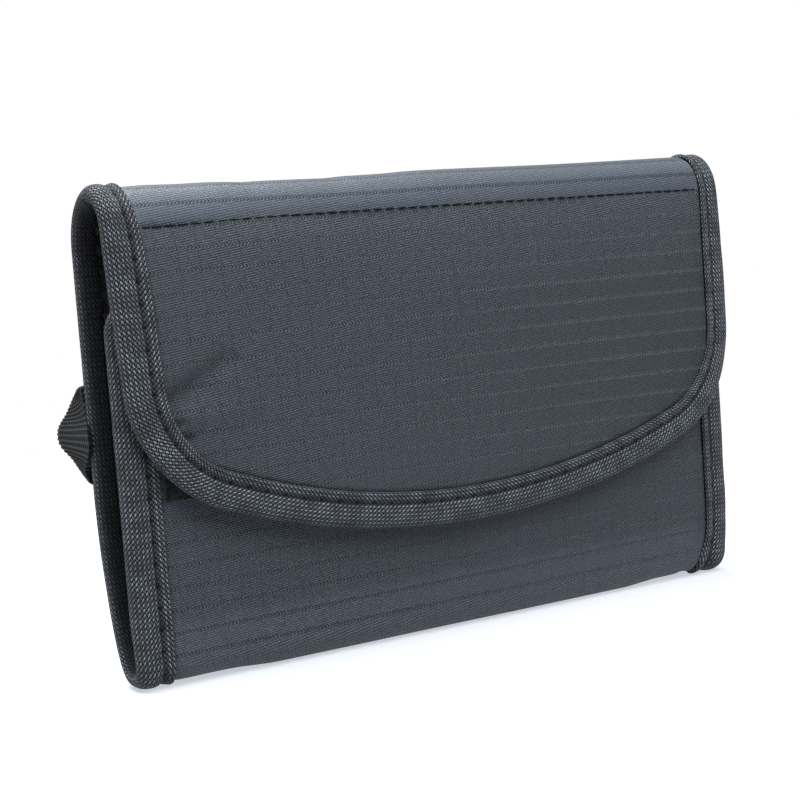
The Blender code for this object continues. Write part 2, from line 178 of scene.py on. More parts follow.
# How far the top fold sags along its ridge, from left to right, in millimetres
sagPlan = {"reach": 0.011,
           "x": (-86, -78, -72, -68, -64, -58, -53, -48.5, -43, -33, -27.5, -22, -17, -11, -6, 0, 20, 40, 58,
                 80, 86),
           "fall": (0.60, 0.60, 0.56, 0.66, 0.79, 0.80, 0.95, 1.20, 1.06, 1.00, 1.02, 0.76, 0.76, 0.70, 0.50,
                    0.41, 0.36, 0.28, 0.36, 0.42, 0.45)}
# The back stands a little wider than the rest, and the right foot is drawn in and lifted
backPlan = {"wider": 0.0095, "widerFrom": 0.015, "widerOver": 0.03, "footIn": 0.024, "footWidth": 0.009,
            "footLift": 0.00016, "liftFrom": 0.070, "liftOver": 0.010, "liftPast": 0.003, "liftWidth": 0.006}
# The flap narrows towards its tip, and its corners hang a little lower than its middle
flapPlan = {"fillet": 0.0302, "bow": 0.182, "taper": 0.036, "taperPower": 1.5, "tilt": 0.0003,
            "corners": 0.0018}
frontPlan = {"fillet": 0.0092, "bow": 2.0}


def onCase(x, s, lift):
    # A point of the cloth: x across, s along the cloth, lift above the middle of the plies
    x, s, lift = np.broadcast_arrays(*(np.asarray(value, float) for value in (x, s, lift)))
    plan, fromFoot = backPlan, s - runAt["foot"]
    total = lift + crown(x, s)
    total = total + (plan["footLift"] * ease(x - plan["liftFrom"], plan["liftOver"])
                     * bell(fromFoot - plan["liftPast"], plan["liftWidth"]))
    sag = np.interp(x * 1000, sagPlan["x"], sagPlan["fall"]) / 1000
    total = total - sag * bell(s - runAt["ridge"], sagPlan["reach"])
    drawn = bell(fromFoot, plan["footWidth"]) * ease(x / caseShape["halfWidth"])
    share = np.clip((s - runAt["crease"]) / (flapEnd - runAt["crease"]), 0, 1)
    side = x / caseShape["halfWidth"]
    s = s + share ** 2 * (flapPlan["tilt"] * side + flapPlan["corners"] * side ** 2)
    x = x * (1 - flapPlan["taper"] * share ** flapPlan["taperPower"])
    wider = (ease(s - runAt["underside"] - plan["widerFrom"], plan["widerOver"])
             * (1 - ease(s - runAt["backFold"], runAt["crease"] - runAt["backFold"])))
    x = x * (1 + plan["wider"] * wider - plan["footIn"] * drawn)
    y, z = (np.interp(s, profileRun, profileLine[:, k]) for k in (0, 1))
    runY, runZ = (np.interp(s, profileRun, profileAlong[:, k]) for k in (0, 1))
    size = np.hypot(runY, runZ)
    return np.stack([x, y + runZ / size * total, z - runY / size * total], -1)


def underCloth(x, s, lift):
    return onCase(x, s, -lift)


def sOfFlap(z):
    start = profileMarks["crease"]
    return np.interp(-np.asarray(z, float), -profileLine[start:, 1], profileRun[start:])


def sOfFront(z):
    return caseShape["frontTop"] - np.asarray(z, float)


def sOfBack(z):
    span = slice(profileMarks["underside"], profileMarks["backFold"])
    return np.interp(np.asarray(z, float), profileLine[span, 1], profileRun[span])


def insideBack(x, z, lift):
    return underCloth(x, sOfBack(z), lift)


def insideFront(x, z, lift):
    return underCloth(x, sOfFront(z), lift)


def freeOutline(length, fillet, bow, step):
    # From the left side's start, round the free end, to the right side's start: x, h and outward
    half = caseShape["halfWidth"]
    cornerX = half - fillet
    bowCentre = length - bow
    cornerH = bowCentre + math.sqrt((bow - fillet) ** 2 - cornerX ** 2)
    lean = math.asin(cornerX / (bow - fillet))
    corner = fillet * (math.pi / 2 - lean)
    ends = np.cumsum([cornerH, corner, 2 * bow * lean, corner, cornerH])
    run = np.linspace(0, ends[-1], round(ends[-1] / step) + 1)
    found = []
    for u in run:
        if u < ends[0]:
            found.append((-half, u, -1, 0))
            continue
        if u >= ends[3]:
            found.append((half, ends[4] - u, 1, 0))
            continue
        if u < ends[1]:
            angle, x, h, radius = (u - ends[0]) / fillet - math.pi / 2, -cornerX, cornerH, fillet
        elif u < ends[2]:
            angle, x, h, radius = (u - ends[1]) / bow - lean, 0, bowCentre, bow
        else:
            angle, x, h, radius = (u - ends[2]) / fillet + lean, cornerX, cornerH, fillet
        sine, cosine = math.sin(angle), math.cos(angle)
        found.append((x + radius * sine, h + radius * cosine, sine, cosine))
    return np.array(found), run


def clothEdge(part, step):
    # The cut edge of one part of the cloth: x, s, outward x, outward s, and the run along it
    if part == "flap":
        line, run = freeOutline(flapEnd - runAt["ridge"], flapPlan["fillet"], flapPlan["bow"], step)
        line[:, 1] += runAt["ridge"]
        return line, run
    if part == "front":
        line, run = freeOutline(runAt["underside"], frontPlan["fillet"], frontPlan["bow"], step)
        line[:, 1] = runAt["underside"] - line[:, 1]
        line[:, 3] *= -1
        return line, run
    low, high = runAt["underside"], runAt["ridge"]
    side = -1 if part == "backLeft" else 1
    run = np.linspace(0, high - low, round((high - low) / step) + 1)
    line = np.stack([np.full_like(run, side * caseShape["halfWidth"]), low + run,
                     np.full_like(run, side), np.zeros_like(run)], 1)
    return line, run


def edgeDistance(x, s):
    # How far a point lies in from the nearest cut edge; away from all of them it is 1
    side = caseShape["halfWidth"] - np.abs(x)
    flap = flapPlan["bow"] - np.hypot(x, s - (flapEnd - flapPlan["bow"]))
    front = np.where(s < runAt["frontFold"], s, 1.0)
    return np.minimum(side, np.minimum(np.where(s > runAt["crease"], flap, 1.0), front))


bindingPlan = {"width": 0.0086, "thickness": 0.00045, "rowStep": 0.00061, "columnStep": 0.00044,
               "stitchInset": 0.0058, "stitchPitch": 0.0049, "stitchLength": 0.0036, "stitchWidth": 0.00042,
               "stitchRise": 0.9, "stitchLift": 0.00125, "stitchStep": 0.0002, "dip": 0.00020,
               "dipWidth": 0.0006, "hole": 0.00045, "holeWidth": 0.00055, "holeReach": 0.0009,
               "pucker": 0.00016, "puckerAlong": 130, "puckerAcross": 260, "puckerSeed": 5.5}
# The tape's faces are narrower round the top fold and wider at the right foot: near which mark,
# by what share, how far past the mark and over what width
tapeShares = (("ridge", 0.20, 0.002, 0.012), ("ridge", 0.28, 0.006, 0.018), ("frontFold", 0.30, 0.004, 0.005))
# The row of stitches along the crease, which dips a little at its left end
creasePlan = {"lift": 0.0009, "dip": 0.0008, "dipX": -0.077, "dipWidth": 0.022, "left": -0.0780,
              "right": 0.0815, "pitch": 0.0031, "length": 0.0029, "threadLift": 0.00036, "width": 0.00045}


def tapeShare(x, s):
    left, right, foot = (share * bell(s - runAt[mark] - past, width) for mark, share, past, width in tapeShares)
    return 1 - np.where(x > 0, right - foot, left)


def creaseRunAt(x):
    plan = creasePlan
    return runAt["crease"] - plan["lift"] + plan["dip"] * bell(x - plan["dipX"], plan["dipWidth"])


# Soft waves, puckers beside the tape, the tuck under it, the crease's dips, and the foot's bulge
drapePlan = {"wave": 0.00050, "waveRate": 26.0, "waveSeed": 3.1, "waveHold": 0.012, "waveAtFoot": 0.8,
             "pucker": 0.00035, "puckerRate": 150.0, "puckerSeed": 8.7, "puckerReach": 0.006,
             "puckerUnder": 0.2, "creaseDip": 0.00042, "creaseWidth": 0.0007, "pillowDip": 0.00055,
             "pillowWidth": 0.0034, "tuck": 0.00075, "tuckReach": 0.0016, "underReach": 0.0015,
             "footPast": 0.002, "footWidth": 0.009, "footDrop": 0.0002, "footBulge": 0.0007,
             "bulgeLeft": -0.064, "leftOver": 0.014, "bulgeRight": 0.062, "rightOver": 0.010, "foldFade": 0.5}
# Soft folds in the cloth, in millimetres: from x and run past the crease, to x and run, half width and height
softFolds = [(-77.2, 38.4, -61.5, 30.0, 2.2, -2.60), (-77.0, 41.4, -58.0, 41.0, 2.2, 1.20),
             (-77.6, 42.6, -74.6, 42.2, 1.0, -2.60), (-76.4, 46.4, -73.0, 45.8, 1.1, -2.60),
             (-50.0, 22.4, -20.0, 18.4, 6.0, -0.35), (40.0, 22.4, 70.0, 44.4, 7.0, -0.40),
             (60.0, -138.6, 78.0, -137.6, 4.0, 0.60), (77.5, -126.6, 71.0, -134.6, 1.6, -0.90),
             (70.5, -129.6, 66.0, -129.1, 2.0, -0.50), (-74.0, -17.6, -30.0, -16.6, 8.0, -0.30)]


def drape(x, s):
    plan = drapePlan
    width = bindingPlan["width"] * tapeShare(x, s)
    inside = edgeDistance(x, s) - width
    near = np.exp(-np.clip(inside, 0, None) / plan["puckerReach"])
    wave = softNoise(x * plan["waveRate"], s * plan["waveRate"], plan["waveSeed"])
    fine = softNoise(x * plan["puckerRate"], s * plan["puckerRate"], plan["puckerSeed"])
    fromCrease = s - creaseRunAt(x)
    under = ease(caseShape["halfWidth"] - width - np.abs(x), plan["underReach"])
    foot = bell(s - runAt["foot"] - plan["footPast"], plan["footWidth"]) * under
    bulge = ease(x - plan["bulgeLeft"], plan["leftOver"]) * ease(plan["bulgeRight"] - x, plan["rightOver"])
    total = (plan["wave"] * wave * ease(inside, plan["waveHold"]) * (1 - plan["waveAtFoot"] * foot)
             + plan["pucker"] * fine * near * np.where(inside > 0, 1.0, plan["puckerUnder"])
             - plan["creaseDip"] * bell(fromCrease, plan["creaseWidth"]) * under
             + (plan["footDrop"] + plan["footBulge"] * bulge) * foot
             - plan["tuck"] * ease(0.5 - inside / plan["tuckReach"])
             - plan["pillowDip"] * bell(fromCrease, plan["pillowWidth"]) * under)
    for x0, s0, x1, s1, width, height in np.array(softFolds) / 1000:
        dx, ds = x1 - x0, s1 - s0
        fromX, fromS = x - x0, s - s0 - runAt["crease"]
        along = np.clip((fromX * dx + fromS * ds) / (dx * dx + ds * ds), 0, 1)
        away = np.hypot(fromX - dx * along, fromS - ds * along)
        total += height * bell(away, width) * (1 - plan["foldFade"] * along)
    return total


def gridPiece(name, points, flatUv, outward=None, thickness=0, even=True):
    # points is rows x columns x 3; the primitive grid is laid onto it and given its thickness
    rows, columns = points.shape[0] - 1, points.shape[1] - 1
    bpy.ops.object.select_all(action="DESELECT")
    bpy.ops.mesh.primitive_grid_add(x_subdivisions=columns, y_subdivisions=rows, size=1)
    piece = bpy.context.object
    mesh = piece.data
    piece.name = mesh.name = name
    flat = np.empty(len(mesh.vertices) * 3)
    mesh.vertices.foreach_get("co", flat)
    flat = flat.reshape(-1, 3)
    column = np.rint((flat[:, 0] + 0.5) * columns).astype(int)
    row = np.rint((flat[:, 1] + 0.5) * rows).astype(int)
    mesh.vertices.foreach_set("co", points[row, column].ravel())
    uvLayer = mesh.uv_layers[0] if mesh.uv_layers else mesh.uv_layers.new()
    uvLayer.name = "cloth"
    corners = np.empty(len(mesh.loops), int)
    mesh.loops.foreach_get("vertex_index", corners)
    uvLayer.data.foreach_set("uv", flatUv[row[corners], column[corners]].ravel())
    mesh.update()
    middle = len(mesh.polygons) // 2
    if outward is not None:
        corner = mesh.polygons[middle].vertices[0]
        faceOutward(piece, middle, outward[row[corner], column[corner]])
    if thickness:
        applyModifier(piece, "SOLIDIFY", thickness=thickness, offset=-1.0, use_even_offset=even)
    onlySelect(piece)
    bpy.ops.object.shade_smooth_by_angle(angle=math.radians(smoothAngle))
    return piece


def faceOutward(piece, polygon, outward):
    if piece.data.polygons[polygon].normal.dot(Vector(outward)) < 0:
        piece.data.flip_normals()


def coonsPatch(near, far, left, right):
    # near and far run left to right, left and right run near to far
    across = np.linspace(0, 1, len(near))[None, :, None]
    along = np.linspace(0, 1, len(left))[:, None, None]
    return ((1 - along) * near[None] + along * far[None] + (1 - across) * left[:, None]
            + across * right[:, None] - (1 - across) * (1 - along) * near[0] - across * (1 - along) * near[-1]
            - (1 - across) * along * far[0] - across * along * far[-1])


def freePatch(part, inset, columns, rows):
    # x and s of a grid that fills the flap or the front panel up to its outline
    line, run = clothEdge(part, caseShape["step"])
    inner = line[:, :2] - inset * line[:, 2:]
    plan = flapPlan if part == "flap" else frontPlan
    normalAngle = np.abs(np.arctan2(line[:, 2], np.abs(line[:, 3])))
    lean = math.asin((caseShape["halfWidth"] - plan["fillet"]) / (plan["bow"] - plan["fillet"]))
    corner = np.argmax(normalAngle < (math.pi / 2 + lean) / 2)
    other = len(line) - 1 - corner
    left = resample(inner[:corner + 1], rows + 1)
    right = resample(inner[other:][::-1], rows + 1)
    far = resample(inner[corner:other + 1], columns + 1)
    patch = coonsPatch(np.linspace(left[0], right[0], columns + 1), far, left, right)
    return patch[..., 0], patch[..., 1]


class Nodes:
    # A short way to wire a node material
    def __init__(self, name, roughness, sheen=0.0, specular=0.5):
        self.material = bpy.data.materials.new(name)
        self.material.use_nodes = True
        self.tree = self.material.node_tree
        self.shader = self.tree.nodes["Principled BSDF"]
        for socket, value in (("Roughness", roughness), ("Metallic", 0), ("Specular IOR Level", specular),
                              ("Sheen Weight", sheen), ("Sheen Roughness", 0.45)):
            self.shader.inputs[socket].default_value = value

    def add(self, kind, **settings):
        node = self.tree.nodes.new(kind)
        for name, value in settings.items():
            setattr(node, name, value)
        return node

    def plug(self, value, socket):
        # A socket, a number, or a colour without its alpha
        if isinstance(value, bpy.types.NodeSocket):
            self.tree.links.new(value, socket)
        else:
            socket.default_value = (*value, 1) if isinstance(value, tuple) else value

    def calc(self, operation, *values):
        node = self.add("ShaderNodeMath", operation=operation)
        for value, socket in zip(values, node.inputs):
            self.plug(value, socket)
        return node.outputs[0]

    def plus(self, first, second):
        return self.calc("ADD", first, second)

    def times(self, first, second):
        return self.calc("MULTIPLY", first, second)

    def timesPlus(self, value, rate, shift):
        return self.calc("MULTIPLY_ADD", value, rate, shift)

    def ramp(self, value, low, high, start=0.0, end=1.0):
        node = self.add("ShaderNodeMapRange", interpolation_type="SMOOTHSTEP")
        for socket, given in zip(node.inputs, (value, low, high, start, end)):
            self.plug(given, socket)
        return node.outputs[0]

    def mix(self, share, first, second):
        node = self.add("ShaderNodeMix", data_type="RGBA")
        for value, index in ((share, 0), (first, 6), (second, 7)):
            self.plug(value, node.inputs[index])
        return node.outputs[2]

    def clothPlace(self):
        # Millimetres across and along the cloth
        uv = self.add("ShaderNodeUVMap", uv_map="cloth")
        parts = self.add("ShaderNodeSeparateXYZ")
        self.plug(uv.outputs[0], parts.inputs[0])
        return self.times(parts.outputs[0], 1000.0), self.times(parts.outputs[1], 1000.0)

    def noise(self, scale, detail=3.0, roughness=0.55, place=None):
        node = self.add("ShaderNodeTexNoise")
        for value, socket in ((place or self.add("ShaderNodeTexCoord").outputs["Object"], "Vector"),
                              (scale, "Scale"), (detail, "Detail"), (roughness, "Roughness")):
            self.plug(value, node.inputs[socket])
        return node.outputs[0]

    def flatPlace(self, across, along, rates):
        # The cloth's own flat place, stretched for threads
        node = self.add("ShaderNodeCombineXYZ")
        self.plug(self.times(across, rates[0]), node.inputs[0])
        self.plug(self.times(along, rates[1]), node.inputs[1])
        return node.outputs[0]

    def wave(self, value, pitch, shift=0.0):
        return self.calc("SINE", self.timesPlus(value, 2 * math.pi / pitch, shift))

    def lineDistance(self, value, pitch):
        # Distance to the nearest line of a set of parallel lines
        share = self.calc("FRACT", self.timesPlus(value, 1 / pitch, 0.5))
        return self.times(self.calc("ABSOLUTE", self.calc("SUBTRACT", share, 0.5)), pitch)

    def bump(self, height, distance, strength=1.0):
        node = self.add("ShaderNodeBump")
        for value, socket in ((strength, "Strength"), (distance, "Distance"), (height, "Height")):
            self.plug(value, node.inputs[socket])
        self.plug(node.outputs[0], self.shader.inputs["Normal"])

    def colour(self, value):
        self.plug(value, self.shader.inputs["Base Color"])

    def roughness(self, value):
        self.plug(value, self.shader.inputs["Roughness"])


def makeRipstop():
    # Fine weave with a 5 mm grid, in millimetres: bands of small chevron floats one way, faint threads
    # the other way. Painted light makes it paler over the foot, a painted highlight makes it paler over the
    # top fold, and painted shade darkens the middle and the right of the flap.
    crease = (runAt["crease"] - creasePlan["lift"]) * 1000
    ridge, foot = runAt["ridge"] * 1000, runAt["frontFold"] * 1000
    look = {"pitch": 5.0, "rowShift": 0.9, "rowBand": (0.58, 0.42), "columnBand": (0.30, 0.10),
            "floatPitch": 0.88, "floatLean": 1.1, "floatRamp": (0.15, 1.0), "floatShare": 0.82,
            "threadPitch": 0.54, "threadLean": 0.14, "dotPitch": 0.92, "dotLean": -0.45, "dotShare": 0.42,
            "dotBase": 0.44, "streakRates": (1.5, 4.0), "weaveRamp": (0.28, 0.84),
            "dark": (0.004, 0.006, 0.009), "light": (0.080, 0.097, 0.124), "float": (0.112, 0.133, 0.164),
            "gap": (0.003, 0.004, 0.006), "cool": (0.030, 0.043, 0.049), "warm": (0.042, 0.037, 0.058),
            "hueScale": 210.0, "warmRamp": (0.56, 0.72, 0.0, 0.30), "coolRamp": (0.44, 0.28, 0.0, 0.30),
            "paintedLitDark": (0.050, 0.061, 0.080), "paintedLitLight": (0.132, 0.157, 0.196), "roughScale": 120.0,
            "roughReach": 3.0, "footFrom": (foot - 8.5, foot - 5.5),
            "footTo": (foot + 14, foot + 8, 0.0, 0.40), "topFrom": (ridge - 10, ridge + 9, 0.0, 0.74),
            "topTo": (crease + 0.4, crease - 0.8), "shadeFrom": (crease + 4, crease + 28, 0.0, 0.20),
            "shadeAcross": (-60.0, 90.0, 0.8, 2.3), "shadeTo": (crease + 44, crease + 68, 1.0, 0.45),
            "faintPitch": 1.0, "faintRamp": (-0.6, 0.8, 0.05, 0.5), "faintUnderPaintedLight": -0.9, "floatHeight": 0.7,
            "columnHeight": -0.3, "pressFrom": (ridge - 16, ridge - 6), "pressTo": (crease + 1, crease - 1),
            "pressed": -0.72, "tint": (0.78, 0.90, 1.0, 1), "bumpDistance": 0.00016, "bumpStrength": 0.9,
            "grainScale": 1500.0, "grain": (0.16, 0.38)}
    cloth = Nodes("ripstopCloth", 0.46, sheen=0.22, specular=0.45)
    cloth.shader.inputs["Specular Tint"].default_value = look["tint"]
    across, along = cloth.clothPlace()
    rowAlong = cloth.plus(along, -(crease + look["rowShift"]) % look["pitch"])
    rowLine = cloth.lineDistance(rowAlong, look["pitch"])
    rowBand = cloth.ramp(rowLine, *look["rowBand"])
    columnBand = cloth.ramp(cloth.lineDistance(across, look["pitch"]), *look["columnBand"])
    chevron = cloth.wave(cloth.timesPlus(rowLine, look["floatLean"], across), look["floatPitch"])
    streak = cloth.noise(1.0, 1.0, 0.5, cloth.flatPlace(across, rowAlong, look["streakRates"]))
    thread = cloth.wave(cloth.timesPlus(across, look["threadLean"], rowAlong), look["threadPitch"])
    dots = cloth.wave(cloth.timesPlus(rowAlong, look["dotLean"], across), look["dotPitch"])
    weave = cloth.timesPlus(thread, cloth.timesPlus(dots, look["dotShare"], look["dotBase"]), streak)
    woven = cloth.ramp(weave, *look["weaveRamp"])
    hue = cloth.noise(look["hueScale"], 2.0)
    base = cloth.mix(woven, look["dark"], look["light"])
    base = cloth.mix(cloth.ramp(hue, *look["warmRamp"]), base, look["warm"])
    base = cloth.mix(cloth.ramp(hue, *look["coolRamp"]), base, look["cool"])
    rough = cloth.timesPlus(cloth.noise(look["roughScale"], 2.0), look["roughReach"], along)
    # Painted light: paler cloth over the foot for light bounced up from the floor, and a painted highlight over
    # the top fold
    paintedFootLight = cloth.times(cloth.ramp(rough, *look["footFrom"]), cloth.ramp(rough, *look["footTo"]))
    paintedTopHighlight = cloth.times(cloth.ramp(rough, *look["topFrom"]), cloth.ramp(along, *look["topTo"]))
    paintedLight = cloth.calc("MAXIMUM", paintedFootLight, paintedTopHighlight)
    base = cloth.mix(paintedLight, base, cloth.mix(woven, look["paintedLitDark"], look["paintedLitLight"]))
    # Painted shade: darker down the middle of the flap and towards its right side
    shade = cloth.times(cloth.ramp(across, *look["shadeAcross"]), cloth.ramp(along, *look["shadeTo"]))
    shade = cloth.times(cloth.ramp(along, *look["shadeFrom"]), shade)
    base = cloth.mix(shade, base, look["dark"])
    floats = cloth.mix(cloth.ramp(chevron, *look["floatRamp"]), look["gap"], look["float"])
    base = cloth.mix(cloth.times(rowBand, look["floatShare"]), base, floats)
    # The faint threads are weaker under the painted light
    faint = cloth.times(columnBand, cloth.timesPlus(paintedLight, look["faintUnderPaintedLight"], 1.0))
    faint = cloth.times(faint, cloth.ramp(cloth.wave(rowAlong, look["faintPitch"]), *look["faintRamp"]))
    cloth.colour(cloth.mix(faint, base, look["gap"]))
    height = cloth.timesPlus(rowBand, cloth.times(chevron, look["floatHeight"]), weave)
    height = cloth.timesPlus(columnBand, look["columnHeight"], height)
    pressed = cloth.times(cloth.ramp(along, *look["pressFrom"]), cloth.ramp(along, *look["pressTo"]))
    height = cloth.times(height, cloth.timesPlus(pressed, look["pressed"], 1.0))
    cloth.bump(height, look["bumpDistance"], look["bumpStrength"])
    cloth.roughness(cloth.timesPlus(cloth.noise(look["grainScale"], 2.0), *look["grain"]))
    return cloth.material


def makeBinding():
    # One bright slanted float to each cell of a coarse weave, a dull one between, dark needle holes with
    # painted shade in them and along the stitch groove, and painted shade over the tape's inner face.
    # Lengths in millimetres.
    length = tapeSection()[1] * 1000
    look = {"gap": (0.004, 0.005, 0.007), "dull": (0.175, 0.202, 0.240), "yarn": (0.352, 0.410, 0.474),
            "acrossPitch": 0.97, "runPitch": 1.18, "slant": -0.20, "weaker": 0.45, "wearScale": 260.0,
            "frayScale": 1800.0, "fray": 0.30, "fleckShift": -0.15, "litRamp": (0.10, 0.80), "seamPast": 0.45,
            "holeAlong": 0.48, "holeAcross": 0.52, "holeShadeRamp": (1.3, 0.5),
            "seamShadeRamp": (0.62, 0.15, 0.0, 0.75), "hole": (0.002, 0.002, 0.003),
            "innerShadeRamp": (length / 2 + 0.2, length / 2 + 2.8, 0.0, 0.86), "frayHeight": 0.25,
            "bumpDistance": 0.00035, "roughness": (0.2, 0.55)}
    seam = (bindingPlan["width"] - bindingPlan["stitchInset"]) * 1000 + look["seamPast"]
    tape = Nodes("bindingWeave", 0.65, sheen=0.05, specular=0.25)
    across, along = tape.clothPlace()
    fromEdge = tape.calc("MINIMUM", across, tape.calc("SUBTRACT", length, across))
    fromSeam = tape.calc("SUBTRACT", fromEdge, seam)
    lean = tape.times(tape.calc("SIGN", fromSeam), look["slant"])
    herring = tape.times(tape.wave(across, look["acrossPitch"], math.pi / 2), lean)
    runWave = tape.wave(tape.plus(along, herring), look["runPitch"])
    rowWave = tape.wave(across, look["acrossPitch"])
    floats = tape.times(tape.calc("SUBTRACT", rowWave, runWave), 0.5)
    fleck = tape.calc("MAXIMUM", floats, tape.times(floats, -look["weaker"]))
    wear, fray = tape.noise(look["wearScale"], 3.0), tape.noise(look["frayScale"], 2.0)
    lit = tape.ramp(tape.timesPlus(fray, look["fray"], tape.plus(fleck, look["fleckShift"])), *look["litRamp"])
    base = tape.mix(lit, look["gap"], tape.mix(tape.ramp(wear, *evenRamp), look["dull"], look["yarn"]))
    offSeam = tape.calc("ABSOLUTE", fromSeam)
    hole = tape.lineDistance(along, bindingPlan["stitchPitch"] * 1000)
    spot = tape.plus(tape.calc("POWER", tape.calc("DIVIDE", hole, look["holeAlong"]), 2.0),
                     tape.calc("POWER", tape.calc("DIVIDE", offSeam, look["holeAcross"]), 2.0))
    # Painted shade in the needle holes and along the stitch groove
    dark = tape.calc("MAXIMUM", tape.ramp(spot, *look["holeShadeRamp"]), tape.ramp(offSeam, *look["seamShadeRamp"]))
    base = tape.mix(dark, base, look["hole"])
    # Painted shade over the tape's inner face, as in the shadowed gap beside the back panel
    tape.colour(tape.mix(tape.ramp(across, *look["innerShadeRamp"]), base, look["gap"]))
    tape.bump(tape.timesPlus(fray, look["frayHeight"], fleck), look["bumpDistance"])
    tape.roughness(tape.timesPlus(wear, *look["roughness"]))
    return tape.material


def makePlainWeave(name, dark, light, pitch, roughness):
    look = {"grain": 900.0, "mottle": 45.0, "gapRamp": (0.0, -0.8), "gapShare": 0.4, "bumpDistance": 0.00010,
            "bumpStrength": 0.8}
    cloth = Nodes(name, roughness, sheen=0.2, specular=0.35)
    across, along = cloth.clothPlace()
    weave = cloth.times(cloth.wave(across, pitch), cloth.wave(along, pitch))
    grain = cloth.noise(look["grain"])
    shade = cloth.plus(cloth.times(grain, 0.5), cloth.times(cloth.noise(look["mottle"]), 0.5))
    base = cloth.mix(cloth.ramp(shade, *evenRamp), dark, light)
    cloth.colour(cloth.mix(cloth.times(cloth.ramp(weave, *look["gapRamp"]), look["gapShare"]), base, dark))
    height = cloth.plus(weave, cloth.times(grain, look["gapShare"]))
    cloth.bump(height, look["bumpDistance"], look["bumpStrength"])
    return cloth.material


def makeFuzz(name, scale, detail, noiseRoughness, depth, dark, light, roughness, sheen, specular, strength=1.0):
    # One noise gives the colour and the bump, as on thread, pile and hooks
    fuzz = Nodes(name, roughness, sheen, specular)
    tuft = fuzz.noise(scale, detail, noiseRoughness)
    fuzz.colour(fuzz.mix(fuzz.ramp(tuft, *evenRamp), dark, light))
    fuzz.bump(tuft, depth, strength)
    return fuzz.material


def makeWebbing():
    # Pitches in millimetres
    look = {"ribPitch": 1.8, "beadPitch": 0.85, "ribRamp": (0.30, 0.98), "beadRamp": (-0.6, 0.6),
            "grain": 1100.0, "gap": (0.003, 0.004, 0.005), "dark": (0.006, 0.008, 0.011),
            "light": (0.082, 0.094, 0.112), "fineHeight": 0.35, "bumpDistance": 0.00022}
    web = Nodes("ribbedWebbing", 0.7, sheen=0.1, specular=0.25)
    across, along = web.clothPlace()
    rib = web.ramp(web.wave(along, look["ribPitch"]), *look["ribRamp"])
    bead = web.ramp(web.wave(across, look["beadPitch"]), *look["beadRamp"])
    web.colour(web.mix(rib, look["gap"], web.mix(bead, look["dark"], look["light"])))
    fine = web.plus(bead, web.noise(look["grain"]))
    web.bump(web.timesPlus(fine, look["fineHeight"], rib), look["bumpDistance"])
    return web.material


def makeElastic():
    # Pitches in millimetres
    look = {"ribPitch": 1.1, "ribRamp": (-0.5, 0.8), "stitchPitch": 0.8, "grain": 1200.0,
            "dark": (0.010, 0.011, 0.013), "light": (0.050, 0.053, 0.060), "fineHeight": 0.25,
            "bumpDistance": 0.00018}
    knit = Nodes("knittedElastic", 0.8, sheen=0.2, specular=0.3)
    across, along = knit.clothPlace()
    rib = knit.ramp(knit.wave(across, look["ribPitch"]), *look["ribRamp"])
    fine = knit.plus(knit.wave(along, look["stitchPitch"]), knit.noise(look["grain"]))
    knit.colour(knit.mix(rib, look["dark"], look["light"]))
    knit.bump(knit.plus(rib, knit.times(fine, look["fineHeight"])), look["bumpDistance"])
    return knit.material


def makeFilm():
    look = {"haze": 90.0, "colour": (0.72, 0.76, 0.80), "roughness": (0.18, 0.06), "alpha": 0.28,
            "bumpDistance": 0.0004, "bumpStrength": 0.35}
    film = Nodes("clearFilm", 0.12, specular=0.6)
    haze = film.noise(look["haze"])
    film.colour(look["colour"])
    film.roughness(film.timesPlus(haze, *look["roughness"]))
    film.bump(haze, look["bumpDistance"], look["bumpStrength"])
    film.shader.inputs["Alpha"].default_value = look["alpha"]
    return film.material


def tapeSection():
    # Distance in from the edge and lift, from the outer face's free edge round to the inner face's
    plan = bindingPlan
    outer = [(plan["width"], 0.00120), (plan["width"] - 0.0001, 0.00180), (0.0081, 0.00210), (0.0072, 0.00188),
             (plan["stitchInset"], 0.00162), (0.0050, 0.00186), (0.0038, 0.00208), (0.0024, 0.00212),
             (0.0013, 0.00190), (0.0005, 0.00132), (0.0001, 0.00068), (0.0, 0.0)]
    line = np.array(outer + [(d, -lift) for d, lift in outer[-2::-1]])
    length = runOf(line)[-1]
    return resample(line, round(length / plan["columnStep"]) + 1), length


materials = {"ripstop": makeRipstop(), "binding": makeBinding(),
             "lining": makePlainWeave("liningCloth", (0.030, 0.034, 0.040), (0.062, 0.068, 0.078), 0.55, 0.72),
             "pocket": makePlainWeave("pocketCloth", (0.050, 0.055, 0.062), (0.095, 0.102, 0.114), 0.65, 0.68),
             "thread": makeFuzz("sewingThread", 2600.0, 2.0, 0.55, 0.00006, (0.003, 0.004, 0.005),
                                (0.012, 0.013, 0.016), 0.75, 0.0, 0.12, 0.6),
             "webbing": makeWebbing(), "elastic": makeElastic(), "film": makeFilm(),
             "pile": makeFuzz("loopPile", 900.0, 5.0, 0.7, 0.0006, (0.004, 0.004, 0.005), (0.030, 0.031, 0.034),
                              0.95, 0.1, 0.2),
             "hook": makeFuzz("hookTape", 1500.0, 5.0, 0.7, 0.0002, (0.008, 0.008, 0.009), (0.028, 0.029, 0.031),
                              0.95, 0.1, 0.2)}
print("materials ready")


def finishPiece(piece, finish, *nodes):
    piece.data.materials.clear()
    piece.data.materials.append(materials[finish])
    if nodes:
        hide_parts(*nodes)


def bend(piece):
    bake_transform(piece)


